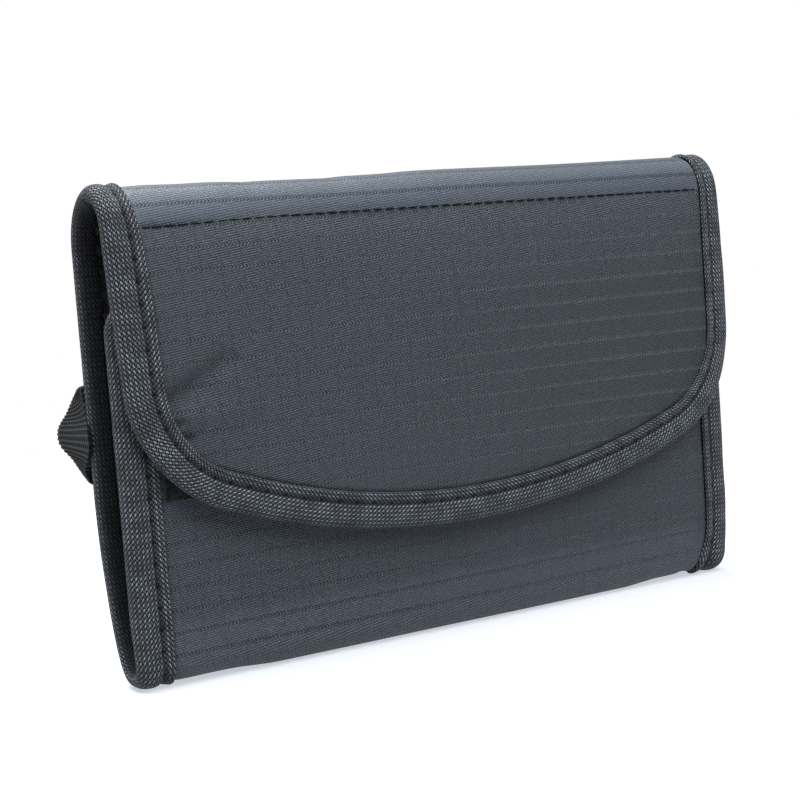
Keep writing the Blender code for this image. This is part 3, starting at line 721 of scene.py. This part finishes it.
def makePanels():
    plan = {"spacing": 0.0011, "flapSpacing": 0.00085, "shellLift": 0.0011, "liningLift": -0.0011,
            "liningDrape": 0.4, "thickness": 0.0004, "inset": 0.0021}
    half = caseShape["halfWidth"] - plan["inset"]
    columns = round(2 * half / plan["spacing"])
    backRows = round((runAt["ridge"] - runAt["underside"]) / plan["spacing"])
    flapRows = round((flapEnd - runAt["ridge"]) / plan["flapSpacing"])
    flapColumns = round(2 * half / plan["flapSpacing"])
    frontRows = round(runAt["underside"] / plan["spacing"])
    grids = {"back": np.meshgrid(np.linspace(-half, half, columns + 1),
                                 np.linspace(runAt["underside"], runAt["ridge"], backRows + 1)),
             "flap": freePatch("flap", plan["inset"], flapColumns, flapRows),
             "front": freePatch("front", plan["inset"], columns, frontRows)}
    outer = {"back": ("back_shell", "back_foam", "bottom_fold_shell"),
             "flap": ("flap_shell", "flap_foam", "spine_shell"), "front": ("front_shell", "front_foam")}
    inner = {"back": ("back_lining", "bottom_fold_lining"), "flap": ("flap_lining", "spine_lining"),
             "front": ("front_lining",)}

    def layCloth(name, lift, drapeShare):
        total = lift + drape(x, s) * drapeShare
        points = onCase(x, s, total)
        outward = (onCase(x, s, total + nudge) - points) * math.copysign(1, lift)
        return gridPiece(name, points, np.stack([x, s], -1), outward, plan["thickness"])

    for part, (x, s) in grids.items():
        piece = layCloth(part + "Cloth", plan["shellLift"], 1.0)
        finishPiece(piece, "ripstop", *outer[part])
        bend(piece)
        piece = layCloth(part + "Lining", plan["liningLift"], plan["liningDrape"])
        finishPiece(piece, "lining", *inner[part])
        bend(piece)


makePanels()
print("cloth and lining ready")


def stitchShift(run):
    # Where the first stitch hole lies, so that the row is centred
    pitch = bindingPlan["stitchPitch"]
    return (run[-1] - int(run[-1] / pitch) * pitch) / 2


def makeTape(name, part, nodes):
    plan = bindingPlan
    line, run = clothEdge(part, plan["rowStep"])
    section, length = tapeSection()
    inset, height = section[None, :, 0], section[None, :, 1]
    deep = inset * tapeShare(line[:, 0:1], line[:, 1:2])
    x, s = line[:, 0:1] - deep * line[:, 2:3], line[:, 1:2] - deep * line[:, 3:4]
    across, along = np.linspace(0, length, len(section))[None, :], run[:, None]
    fromStitch = inset - plan["stitchInset"]
    hole = (along - stitchShift(run)) / plan["stitchPitch"]
    hole = np.abs(hole - np.round(hole)) * plan["stitchPitch"]
    pinch = bell(hole, plan["holeWidth"]) * bell(fromStitch, plan["holeReach"])
    pucker = softNoise(along * plan["puckerAlong"], across * plan["puckerAcross"], plan["puckerSeed"])
    drawn = plan["dip"] * bell(fromStitch, plan["dipWidth"]) + plan["hole"] * pinch - plan["pucker"] * pucker
    points = onCase(x, s, height - np.sign(height) * drawn)
    uv = np.stack(np.broadcast_arrays(across, along - stitchShift(run)), -1)
    piece = gridPiece(name, points, uv)
    faceOutward(piece, 0, points[0, 1] - onCase(x[0, 1], s[0, 1], 0.0))
    applyModifier(piece, "SOLIDIFY", thickness=plan["thickness"], offset=-1.0, use_even_offset=True)
    finishPiece(piece, "binding", *nodes)
    return piece


def stitchPiece(name, starts, ends, ups, width, rise, finish="thread"):
    # One small spindle, arrayed and then laid from each start to its end
    bpy.ops.object.select_all(action="DESELECT")
    bpy.ops.mesh.primitive_uv_sphere_add(segments=6, ring_count=5, radius=0.5)
    piece = bpy.context.object
    piece.name = piece.data.name = name
    spindle = np.array([v.co[:] for v in piece.data.vertices])
    applyModifier(piece, "ARRAY", count=len(starts), use_relative_offset=False, use_constant_offset=True,
                  constant_offset_displace=(2, 0, 0))
    laid = []
    for start, end, up in zip(starts, ends, ups):
        along = Vector(end) - Vector(start)
        side = Vector(up).cross(along).normalized()
        lift = along.cross(side).normalized()
        middle = (np.array(start) + np.array(end)) / 2
        laid.append(spindle @ np.array([side * width, lift * rise, along]) + middle)
    piece.data.vertices.foreach_set("co", np.concatenate(laid).ravel())
    piece.data.update()
    onlySelect(piece)
    bpy.ops.object.shade_smooth()
    finishPiece(piece, finish)
    return piece


def tapeStitches(name, part):
    # One row on each face of the tape
    plan = bindingPlan
    line, run = clothEdge(part, plan["stitchStep"])
    pitch, length, sides = plan["stitchPitch"], plan["stitchLength"], np.array([1, -1])
    first = stitchShift(run) + np.arange(int(run[-1] / pitch)) * pitch + (pitch - length) / 2

    def points(u, lift):
        x, s, outX, outS = (np.interp(u, run, line[:, k])[:, None] for k in range(4))
        deep = plan["stitchInset"] * tapeShare(x, s)
        return onCase(x - deep * outX, s - deep * outS, sides * lift).reshape(-1, 3)

    starts, ends = points(first, plan["stitchLift"]), points(first + length, plan["stitchLift"])
    ups = points(first, plan["stitchLift"] + nudge) - starts
    return stitchPiece(name, starts, ends, ups, plan["stitchWidth"], plan["stitchWidth"] * plan["stitchRise"])


for part, name, nodes in (("flap", "flapBinding", ("flap_binding", "spine_binding_left", "spine_binding_right")),
                          ("backLeft", "backBindingLeft", ("back_binding_left", "bottom_fold_binding_left")),
                          ("backRight", "backBindingRight", ("back_binding_right", "bottom_fold_binding_right")),
                          ("front", "frontBinding", ("front_binding",))):
    bend(makeTape(name, part, nodes))
    bend(tapeStitches(name + "Stitches", part))
print("binding ready")


def makeCrease():
    plan = creasePlan
    x = np.arange(plan["left"], plan["right"] - plan["pitch"], plan["pitch"])
    first = onCase(x, creaseRunAt(x), plan["threadLift"])
    second = onCase(x + plan["length"], creaseRunAt(x + plan["length"]), plan["threadLift"])
    ups = onCase(x, creaseRunAt(x), plan["threadLift"] + nudge) - first
    piece = stitchPiece("creaseStitches", first, second, ups, plan["width"], plan["width"])
    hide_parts("crease_stitching")
    bend(piece)


makeCrease()


def layPiece(name, place, x, z, lift, thickness, finish, node, body, middle=0.0, uv=None):
    # A thin piece on the cloth: place turns x, z and lift into points, and more lift is further out
    points = place(middle + x, z, lift)
    outward = place(middle + x, z, lift + nudge) - points
    piece = gridPiece(name, points, np.stack(uv or (x, z), -1), outward, thickness)
    finishPiece(piece, finish, node)
    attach(piece, body)


def stitchRow(name, place, x, z, length, lift, up, body):
    # length is how far each stitch goes in x and in z
    thread = 0.0004
    starts, ends = place(x, z, lift), place(x + length[0], z + length[1], lift)
    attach(stitchPiece(name, starts, ends, [up] * len(starts), thread, thread), body)


def makeClosure():
    plan = {"loopHalf": 0.0764, "loopLow": 0.0421, "loopHigh": 0.063, "loopLift": 0.0024, "loopGrid": 0.0007,
            "loopThickness": 0.0010, "tuft": 0.0005, "tuftRate": 900, "tuftSeed": 1.3, "edgeFall": 0.0006,
            "edgeWidth": 0.0015, "hookHalf": 0.050, "hookLow": 0.048, "hookHigh": 0.064, "hookLift": 0.0019,
            "hookColumns": 60, "hookRows": 12, "hookThickness": 0.0006, "toothPitch": 0.0016,
            "toothSide": 0.002, "toothLow": 0.0014, "toothHigh": 0.001, "toothSunk": 0.0001,
            "toothTall": 0.0009, "toothLean": 0.0003, "toothDrop": 0.0002, "toothWidth": 0.00045,
            "toothRise": 0.0003}
    x, z = np.meshgrid(np.arange(-plan["loopHalf"], plan["loopHalf"], plan["loopGrid"]),
                       np.arange(plan["loopLow"], plan["loopHigh"], plan["loopGrid"]))
    s = sOfFront(z)
    fuzz = softNoise(x * plan["tuftRate"], s * plan["tuftRate"], plan["tuftSeed"])
    edge = np.minimum(plan["loopHalf"] - np.abs(x), np.minimum(z - plan["loopLow"], plan["loopHigh"] - z))
    lift = plan["loopLift"] + plan["tuft"] * fuzz - plan["edgeFall"] * (1 - ease(edge, plan["edgeWidth"]))
    layPiece("loopStrip", onCase, x, s, lift, plan["loopThickness"], "pile", "front_loop_strip", "front")

    half, low, high, lift = (plan["hook" + part] for part in ("Half", "Low", "High", "Lift"))
    x, z = np.meshgrid(np.linspace(-half, half, plan["hookColumns"]), np.linspace(low, high, plan["hookRows"]))
    layPiece("hookStrip", underCloth, x, sOfFlap(z), lift, plan["hookThickness"], "hook",
             "flap_hook_strip", "flap")
    z, x = np.meshgrid(np.arange(low + plan["toothLow"], high - plan["toothHigh"], plan["toothPitch"]),
                       np.arange(-half + plan["toothSide"], half - plan["toothSide"], plan["toothPitch"]),
                       indexing="ij")
    x, z = x.ravel(), z.ravel()
    base = underCloth(x, sOfFlap(z), lift - plan["toothSunk"])
    tip = underCloth(x + plan["toothLean"], sOfFlap(z - plan["toothDrop"]), lift + plan["toothTall"])
    teeth = stitchPiece("hookTeeth", base, tip, [(0, 0, 1)] * len(base), plan["toothWidth"],
                        plan["toothRise"], "hook")
    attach(teeth, "flap")


makeClosure()
print("closure ready")


def makeBeltLoop():
    # Rows down the tape in millimetres: its near selvedge, the fold across it and where along the
    # width that lies, and its far selvedge. It lies flat at both feet and is twisted in between.
    plan = {"rows": [((-85.0, 11.4, 70.4), (-84.5, 11.4, 70.4), 0.03, (-69.0, 11.2, 70.4)),
                     ((-85.2, 11.5, 68.6), (-84.8, 11.5, 68.6), 0.03, (-69.2, 11.3, 68.4)),
                     ((-86.6, 11.3, 67.0), (-87.0, 13.2, 67.7), 0.12, (-73.5, 14.0, 66.9)),
                     ((-86.6, 10.6, 64.9), (-87.3, 15.4, 66.0), 0.28, (-77.0, 16.4, 65.2)),
                     ((-86.9, 9.0, 61.0), (-88.6, 17.9, 62.0), 0.55, (-82.0, 19.8, 61.8)),
                     ((-87.8, 6.4, 57.2), (-90.2, 20.4, 57.8), 0.92, (-89.3, 21.1, 57.8)),
                     ((-87.8, 6.2, 54.8), (-90.1, 20.6, 54.9), 0.92, (-89.2, 21.3, 54.9)),
                     ((-87.7, 8.6, 51.0), (-88.7, 16.4, 51.1), 0.50, (-81.8, 18.8, 51.0)),
                     ((-87.5, 10.8, 48.2), (-87.3, 13.4, 47.3), 0.22, (-75.8, 14.8, 47.6)),
                     ((-86.3, 11.3, 46.2), (-86.7, 12.0, 45.6), 0.10, (-71.5, 12.1, 45.6)),
                     ((-85.2, 11.5, 44.6), (-84.8, 11.5, 44.6), 0.03, (-69.2, 11.3, 44.6)),
                     ((-85.0, 11.4, 42.4), (-84.5, 11.4, 42.4), 0.03, (-69.0, 11.2, 42.4))],
            "columns": 26, "samples": 300, "leastGap": 0.0004, "leastBend": 0.02, "mostBend": 0.95, "rounds": 3,
            "ribPitch": 0.0018, "ribHeight": 0.00011, "ribFan": 0.8, "thickness": 0.0010, "width": 0.016,
            "tacks": {"High": 0.0694, "Low": 0.0436}, "tackX": -0.0838, "tackY": 0.0117, "tackWidth": 0.0135,
            "tackPitch": 0.0009, "tackHalf": 0.0008, "threadWidth": 0.0006, "threadRise": 0.0005}
    corners = np.array([row[0] + row[1] + row[3] for row in plan["rows"]]) / 1000
    values = np.concatenate([corners, [[row[2]] for row in plan["rows"]]], 1)
    gaps = np.linalg.norm(np.diff(corners[:, 3:6], axis=0), axis=1) + plan["leastGap"]
    keys = np.concatenate([[0], np.cumsum(gaps)])
    share = np.linspace(0, keys[-1], plan["samples"])
    slopes = np.gradient(values, keys, axis=0)
    index = np.clip(np.searchsorted(keys, share, side="right") - 1, 0, len(keys) - 2)
    width = (keys[index + 1] - keys[index])[:, None]
    t = (share - keys[index])[:, None] / width
    rows = ((2 * t ** 3 - 3 * t ** 2 + 1) * values[index] + (t ** 3 - 2 * t ** 2 + t) * width * slopes[index]
            + (3 * t ** 2 - 2 * t ** 3) * values[index + 1] + (t ** 3 - t ** 2) * width * slopes[index + 1])
    near, fold, far = rows[:, 0:3], rows[:, 3:6], rows[:, 6:9]
    bendAt = np.clip(rows[:, 9:10], plan["leastBend"], plan["mostBend"])
    across = np.linspace(0, 1, plan["columns"] + 1)
    points = np.stack([np.where(c < bendAt, near + (fold - near) * (c / bendAt),
                                fold + (far - fold) * ((c - bendAt) / (1 - bendAt))) for c in across], 1)
    for _ in range(plan["rounds"]):
        points[:, 1:-1] = (points[:, :-2] + 2 * points[:, 1:-1] + points[:, 2:]) / 4
        points[1:-1] = (points[:-2] + 2 * points[1:-1] + points[2:]) / 4
    alongRun = runOf(points.mean(1))
    normal = np.cross(np.gradient(points, axis=0), np.gradient(points, axis=1))
    normal /= np.linalg.norm(normal, axis=2)[..., None]
    if normal[plan["samples"] // 2, 5, 0] > 0:
        normal = -normal
    # The ribs fan out from the corner of the twist
    corner = alongRun[np.argmax(fold[:, 1])]
    fan = 1 + plan["ribFan"] * np.clip(across[None, :] / bendAt, 0, 1)
    ribRun = corner + (alongRun[:, None] - corner) * fan
    rib = np.sin(2 * math.pi * ribRun / plan["ribPitch"])[..., None]
    uv = np.stack(np.broadcast_arrays(across[None, :] * plan["width"], ribRun), -1)
    points = points + normal * rib * plan["ribHeight"]
    piece = gridPiece("beltLoop", points, uv, normal, plan["thickness"], even=False)
    finishPiece(piece, "webbing", "belt_loop")
    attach(piece, "back")
    numbers = np.arange(round(plan["tackWidth"] / plan["tackPitch"]))
    swing = np.where(numbers % 2, -plan["tackHalf"], plan["tackHalf"])
    for label, height in plan["tacks"].items():
        x, y = plan["tackX"] + numbers * plan["tackPitch"], np.full(len(numbers), plan["tackY"])
        starts = np.stack([x, y, height + swing], 1)
        ends = np.stack([x + plan["tackPitch"], y, height - swing], 1)
        tack = stitchPiece("beltLoopTack" + label, starts, ends, [(0, 1, 0)] * len(starts),
                           plan["threadWidth"], plan["threadRise"])
        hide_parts("belt_loop_bartack_" + label.lower())
        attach(tack, "back")


makeBeltLoop()
print("belt loop ready")


def stepsBetween(stops, counts):
    parts = [np.linspace(low, high, count + 1)[1:] for low, high, count in zip(stops, stops[1:], counts)]
    return np.concatenate([[stops[0]], *parts])


def makePockets():
    plan = {"count": 3, "width": 0.0498, "pitch": 0.0506, "low": 0.016, "mouth": 0.0715, "top": 0.0743,
            "depth": 0.0044, "flange": 0.0022, "wall": 0.0016, "corner": 1.6, "footTape": 0.005,
            "gather": 0.009, "face": 0.0018, "cloth": 0.0005, "columns": (3, 8, 45, 8, 3), "rows": (4, 51),
            "softAcross": 70, "softUp": 45, "softSeed": 2.2, "soft": 0.05, "foldPitch": 0.0062,
            "foldFade": 0.007, "foldHeight": 0.0004}
    # The elastic folded over the mouth: its section as height and lift, and its ribs
    hem = {"section": [(-0.0052, 0.00045), (-0.0030, 0.00062), (-0.0008, 0.00060), (0.0, 0.00030),
                       (0.0002, -0.0001), (0.0, -0.0005), (-0.0008, -0.00075), (-0.0030, -0.00078),
                       (-0.0052, -0.0006)],
           "rows": 22, "columns": 150, "end": 0.0003, "lift": 0.0002, "depthShare": 0.97, "ribs": 0.22,
           "ribPitch": 0.0013, "thickness": 0.00025}
    seam = {"columns": 9, "rows": 60, "half": 0.0019, "low": 0.0213, "high": 0.0680, "lift": 0.0024,
            "crown": 0.00025, "thickness": 0.0004, "stitches": (0.0222, 0.0665, 0.0030),
            "stitchLift": 0.00265, "stitchLength": 0.0020}
    tape = {"columns": 150, "rows": 12, "low": 0.0158, "high": 0.0208, "lift": 0.0024, "wave": 0.00012,
            "thickness": 0.0005, "startIn": 0.002, "endIn": 0.004, "stitchPitch": 0.0030,
            "stitchLift": 0.0025, "stitchRows": {"Low": 0.0170, "High": 0.0197}}
    half, flange, wall = plan["width"] / 2, plan["flange"], plan["wall"]
    footTop = plan["low"] + plan["footTape"]

    def boxShare(x):
        return ease(half - flange - np.abs(x), wall * plan["corner"])

    section = resample(np.array(hem["section"]), hem["rows"])
    for number in range(plan["count"]):
        middle = plan["pitch"] * (number - (plan["count"] - 1) / 2)
        x, z = np.meshgrid(stepsBetween((-half, -half + flange, -half + flange + wall, half - flange - wall,
                                         half - flange, half), plan["columns"]),
                           stepsBetween((plan["low"], footTop, plan["mouth"]), plan["rows"]))
        shape = ease(z - footTop, plan["gather"]) * boxShare(x)
        soft = softNoise((x + middle) * plan["softAcross"], z * plan["softUp"], plan["softSeed"] + number)
        pleats = np.sin(2 * math.pi * x / plan["foldPitch"] + number) * np.exp(-(z - footTop) / plan["foldFade"])
        lift = plan["face"] + shape * (plan["depth"] * (1 + plan["soft"] * soft) + plan["foldHeight"] * pleats)
        layPiece(f"batterySleeve{number + 1}", insideBack, x, z, lift, plan["cloth"], "pocket",
                 f"battery_pocket_{number + 1}", "back", middle)
        x, drop = np.meshgrid(np.linspace(-half + hem["end"], half - hem["end"], hem["columns"]), section[:, 0])
        ribs = 1 + hem["ribs"] * np.sin(2 * math.pi * x / hem["ribPitch"])
        lift = plan["face"] + hem["lift"] + plan["depth"] * hem["depthShare"] * boxShare(x)
        lift = lift + section[:, 1:2] * ribs
        points = insideBack(middle + x, plan["top"] + drop, lift)
        piece = gridPiece(f"sleeveHem{number + 1}", points, np.stack([x, plan["top"] + drop], -1))
        faceOutward(piece, hem["columns"] // 2, (0, -1, 0))
        applyModifier(piece, "SOLIDIFY", thickness=hem["thickness"], offset=-1.0)
        finishPiece(piece, "elastic", f"pocket_hem_{number + 1}")
        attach(piece, "back")
    for number in range(plan["count"] - 1):
        middle = plan["pitch"] * (number + 0.5 - (plan["count"] - 1) / 2)
        x, z = np.meshgrid(np.linspace(-seam["half"], seam["half"], seam["columns"]),
                           np.linspace(seam["low"], seam["high"], seam["rows"]))
        lift = seam["lift"] + seam["crown"] * np.cos(x / seam["half"] * math.pi / 2)
        layPiece(f"sleeveSeamTape{number + 1}", insideBack, x, z, lift, seam["thickness"], "elastic",
                 f"pocket_seam_tape_{number + 1}", "back", middle)
        stitchRow(f"sleeveSeamStitches{number + 1}", insideBack, middle, np.arange(*seam["stitches"]),
                  (0, seam["stitchLength"]), seam["stitchLift"], (0, -1, 0), "back")
    span = (plan["pitch"] * (plan["count"] - 1) + plan["width"]) / 2
    x, z = np.meshgrid(np.linspace(-span, span, tape["columns"]),
                       np.linspace(tape["low"], tape["high"], tape["rows"]))
    lift = tape["lift"] + (tape["wave"] * np.sin(2 * math.pi * x / plan["foldPitch"])
                           * (z - tape["low"]) / (tape["high"] - tape["low"]))
    layPiece("sleeveFootTape", insideBack, x, z, lift, tape["thickness"], "elastic", "pocket_foot_tape", "back",
             uv=(z, x))
    x = np.arange(-span + tape["startIn"], span - tape["endIn"], tape["stitchPitch"])
    for label, height in tape["stitchRows"].items():
        stitchRow("sleeveFootStitches" + label, insideBack, x, height, (seam["stitchLength"], 0),
                  tape["stitchLift"], (0, -1, 0), "back")


makePockets()
print("battery pockets ready")


def makeCardPocket():
    plan = {"half": 0.070, "low": 0.014, "high": 0.0660, "face": 0.00175, "cloth": 0.0003, "columns": 110,
            "rows": 44, "softRate": 60, "softSeed": 6.6, "soft": 0.0002, "softReach": 0.008}
    # The tape over its top edge: its section as height and lift, and its stitches
    tape = {
            "section": [(-0.0053, 0.0003), (-0.003, 0.0005), (-0.0006, 0.00045), (0, 0.0001), (-0.0006, -0.00025)],
            "rows": 14, "high": 0.0693, "lift": 0.0001, "thickness": 0.0003, "stitchDrop": 0.0040,
            "stitchLift": 0.0022, "stitchLength": 0.002, "stitchPitch": 0.0030, "startIn": 0.001,
            "endIn": 0.003}
    window = {"count": 3, "pitch": 0.0445, "half": 0.020, "low": 0.019, "high": 0.057, "columns": 34,
              "rows": 32, "lift": 0.0024, "swell": 0.0003, "softRate": 55, "softSeed": 9.1,
              "thickness": 0.0003, "stitchLift": 0.00245, "stitchLength": 0.0019, "stitchPitch": 0.0028,
              "stitchIn": 0.0012, "rise": (0.001, 0.002), "across": (0.0015, 0.003)}
    half, low = plan["half"], plan["low"]
    x, z = np.meshgrid(np.linspace(-half, half, plan["columns"]), np.linspace(low, plan["high"], plan["rows"]))
    soft = softNoise(x * plan["softRate"], z * plan["softRate"], plan["softSeed"])
    lift = plan["face"] + plan["soft"] * soft * ease(np.minimum(half - np.abs(x), z - low), plan["softReach"])
    layPiece("cardPanel", insideFront, x, z, lift, plan["cloth"], "pocket", "card_pocket_panel", "front")
    section = resample(np.array(tape["section"]), tape["rows"])
    x, drop = np.meshgrid(np.linspace(-half, half, plan["columns"]), section[:, 0])
    lift = plan["face"] + tape["lift"] + section[:, 1:2]
    layPiece("cardPanelTape", insideFront, x, tape["high"] + drop, lift, tape["thickness"], "binding",
             "card_pocket_tape", "front", uv=(drop, x))
    x = np.arange(-half + tape["startIn"], half - tape["endIn"], tape["stitchPitch"])
    stitchRow("cardTapeStitches", insideFront, x, tape["high"] - tape["stitchDrop"], (tape["stitchLength"], 0),
              tape["stitchLift"], (0, 1, 0), "front")
    half, low, high = window["half"], window["low"], window["high"]
    for number in range(window["count"]):
        middle = window["pitch"] * (number - 1)
        x, z = np.meshgrid(np.linspace(-half, half, window["columns"]), np.linspace(low, high, window["rows"]))
        edge = np.minimum(half - np.abs(x), np.minimum(z - low, high - z))
        soft = softNoise((x + middle) * window["softRate"], z * window["softRate"], window["softSeed"])
        lift = window["lift"] + window["swell"] * (1 + soft) * ease(edge, plan["softReach"])
        layPiece(f"cardWindow{number + 1}", insideFront, x, z, lift, window["thickness"], "film",
                 f"card_window_{number + 1}", "front", middle)
        # Stitches up both sides, then along the foot
        rise = np.arange(low + window["rise"][0], high - window["rise"][1], window["stitchPitch"])
        foot = np.arange(middle - half + window["across"][0], middle + half - window["across"][1],
                         window["stitchPitch"])
        sideX = half - window["stitchIn"]
        x = np.concatenate([np.tile((middle - sideX, middle + sideX), len(rise)), foot])
        z = np.concatenate([np.repeat(rise, 2), np.full(len(foot), low + window["stitchIn"])])
        upright = np.arange(len(x)) < 2 * len(rise)
        length = (np.where(upright, 0, window["stitchLength"]), np.where(upright, window["stitchLength"], 0))
        stitchRow(f"cardWindowStitches{number + 1}", insideFront, x, z, length, window["stitchLift"], (0, 1, 0),
                  "front")


makeCardPocket()
print("card pocket ready")


def makeCamera():
    # Fitted to the photo's edges
    plan = {"azimuth": 30.259, "elevation": 5.506, "roll": -4.266, "focalPixels": 1650.0, "frame": 800,
            "right": 0.013028, "up": -0.055189, "away": 0.412462, "sensor": 36.0, "clipStart": 0.01}
    turn, rise, roll = (math.radians(plan[k]) for k in ("azimuth", "elevation", "roll"))
    away = Vector((math.sin(turn) * math.cos(rise), math.cos(turn) * math.cos(rise), -math.sin(rise)))
    level = Vector((math.cos(turn), -math.sin(turn), 0))
    upright = level.cross(away)
    right = level * math.cos(roll) + upright * math.sin(roll)
    up = upright * math.cos(roll) - level * math.sin(roll)
    bpy.ops.object.camera_add()
    camera = bpy.context.object
    camera.name = "photoCamera"
    camera.data.sensor_width = plan["sensor"]
    camera.data.lens = plan["focalPixels"] / plan["frame"] * plan["sensor"]
    place = -(right * plan["right"] + up * plan["up"] + away * plan["away"])
    camera.matrix_world = Matrix.Translation(place) @ Matrix((right, up, -away)).transposed().to_4x4()
    camera.data.clip_start = plan["clipStart"]
    bpy.context.scene.camera = camera


def makeFloor():
    # White to the camera, with the object's shadow kept close around it
    plan = {"size": 30, "colour": (0.45, 0.45, 0.45), "bounce": (0.35, 0.35, 0.35),
            "glow": (0.53, 0.56, 0.61), "near": 0.20, "far": 0.42}
    bpy.ops.object.select_all(action="DESELECT")
    bpy.ops.mesh.primitive_plane_add(size=plan["size"])
    floor = bpy.context.object
    floor.name = "floor"
    finish = Nodes("paleFloor", 0.9, specular=0.1)
    finish.colour(plan["colour"])
    place, path = finish.add("ShaderNodeTexCoord"), finish.add("ShaderNodeLightPath")
    distance = finish.add("ShaderNodeVectorMath", operation="LENGTH")
    glow, white = finish.add("ShaderNodeEmission"), finish.add("ShaderNodeEmission")
    pale, both = finish.add("ShaderNodeBsdfDiffuse"), finish.add("ShaderNodeAddShader")
    shadow, pick = finish.add("ShaderNodeMixShader"), finish.add("ShaderNodeMixShader")
    seen = finish.calc("MAXIMUM", path.outputs["Is Camera Ray"], path.outputs["Is Glossy Ray"])
    for value, socket in ((plan["glow"], glow.inputs["Color"]), (1.0, white.inputs["Strength"]),
                          (plan["bounce"], pale.inputs["Color"]), (place.outputs["Object"], distance.inputs[0]),
                          (finish.shader.outputs[0], both.inputs[0]), (glow.outputs[0], both.inputs[1]),
                          (finish.ramp(distance.outputs["Value"], plan["near"], plan["far"]), shadow.inputs[0]),
                          (both.outputs[0], shadow.inputs[1]), (white.outputs[0], shadow.inputs[2]),
                          (seen, pick.inputs[0]), (pale.outputs[0], pick.inputs[1]),
                          (shadow.outputs[0], pick.inputs[2]),
                          (pick.outputs[0], finish.tree.nodes["Material Output"].inputs["Surface"])):
        finish.plug(value, socket)
    floor.data.materials.append(finish.material)


def makeLight():
    # Soft lamps, each with its place, size and watts, and a world that is white to the camera alone
    plan = {"ambient": 0.03, "tint": (0.95, 0.97, 1.0, 1), "white": (1, 1, 1, 1), "aim": (0, 0, 0.05),
            "lamps": {"topLamp": ((-0.15, -0.24, 0.85), (0.9, 0.6), 6.4),
                      "frontLamp": ((0.05, -0.75, 0.75), (0.6, 0.5), 6.4),
                      "backLamp": ((-0.10, 0.30, 0.88), (0.9, 0.5), 11.5)}}
    world = bpy.data.worlds.new("studio")
    world.use_nodes = True
    bpy.context.scene.world = world
    tree = world.node_tree
    soft = tree.nodes["Background"]
    white, path, seen, pick = (tree.nodes.new("ShaderNode" + kind)
                               for kind in ("Background", "LightPath", "Math", "MixShader"))
    for node, colour, strength in ((soft, plan["tint"], plan["ambient"]), (white, plan["white"], 1.0)):
        node.inputs["Color"].default_value = colour
        node.inputs["Strength"].default_value = strength
    seen.operation = "MAXIMUM"
    for output, socket in ((path.outputs["Is Camera Ray"], seen.inputs[0]),
                           (path.outputs["Is Transmission Ray"], seen.inputs[1]),
                           (seen.outputs[0], pick.inputs[0]), (soft.outputs[0], pick.inputs[1]),
                           (white.outputs[0], pick.inputs[2]),
                           (pick.outputs[0], tree.nodes["World Output"].inputs["Surface"])):
        tree.links.new(output, socket)
    for name, (place, size, watts) in plan["lamps"].items():
        bpy.ops.object.light_add(type="AREA", location=place)
        lamp = bpy.context.object
        lamp.name = name
        lamp.data.shape = "RECTANGLE"
        lamp.data.size, lamp.data.size_y = size
        lamp.data.energy = watts
        lamp.rotation_euler = (Vector(plan["aim"]) - Vector(place)).to_track_quat("-Z", "Y").to_euler()


makeCamera()
makeFloor()
makeLight()
bpy.context.scene.view_settings.view_transform = "Standard"
print("camera, floor and light ready")
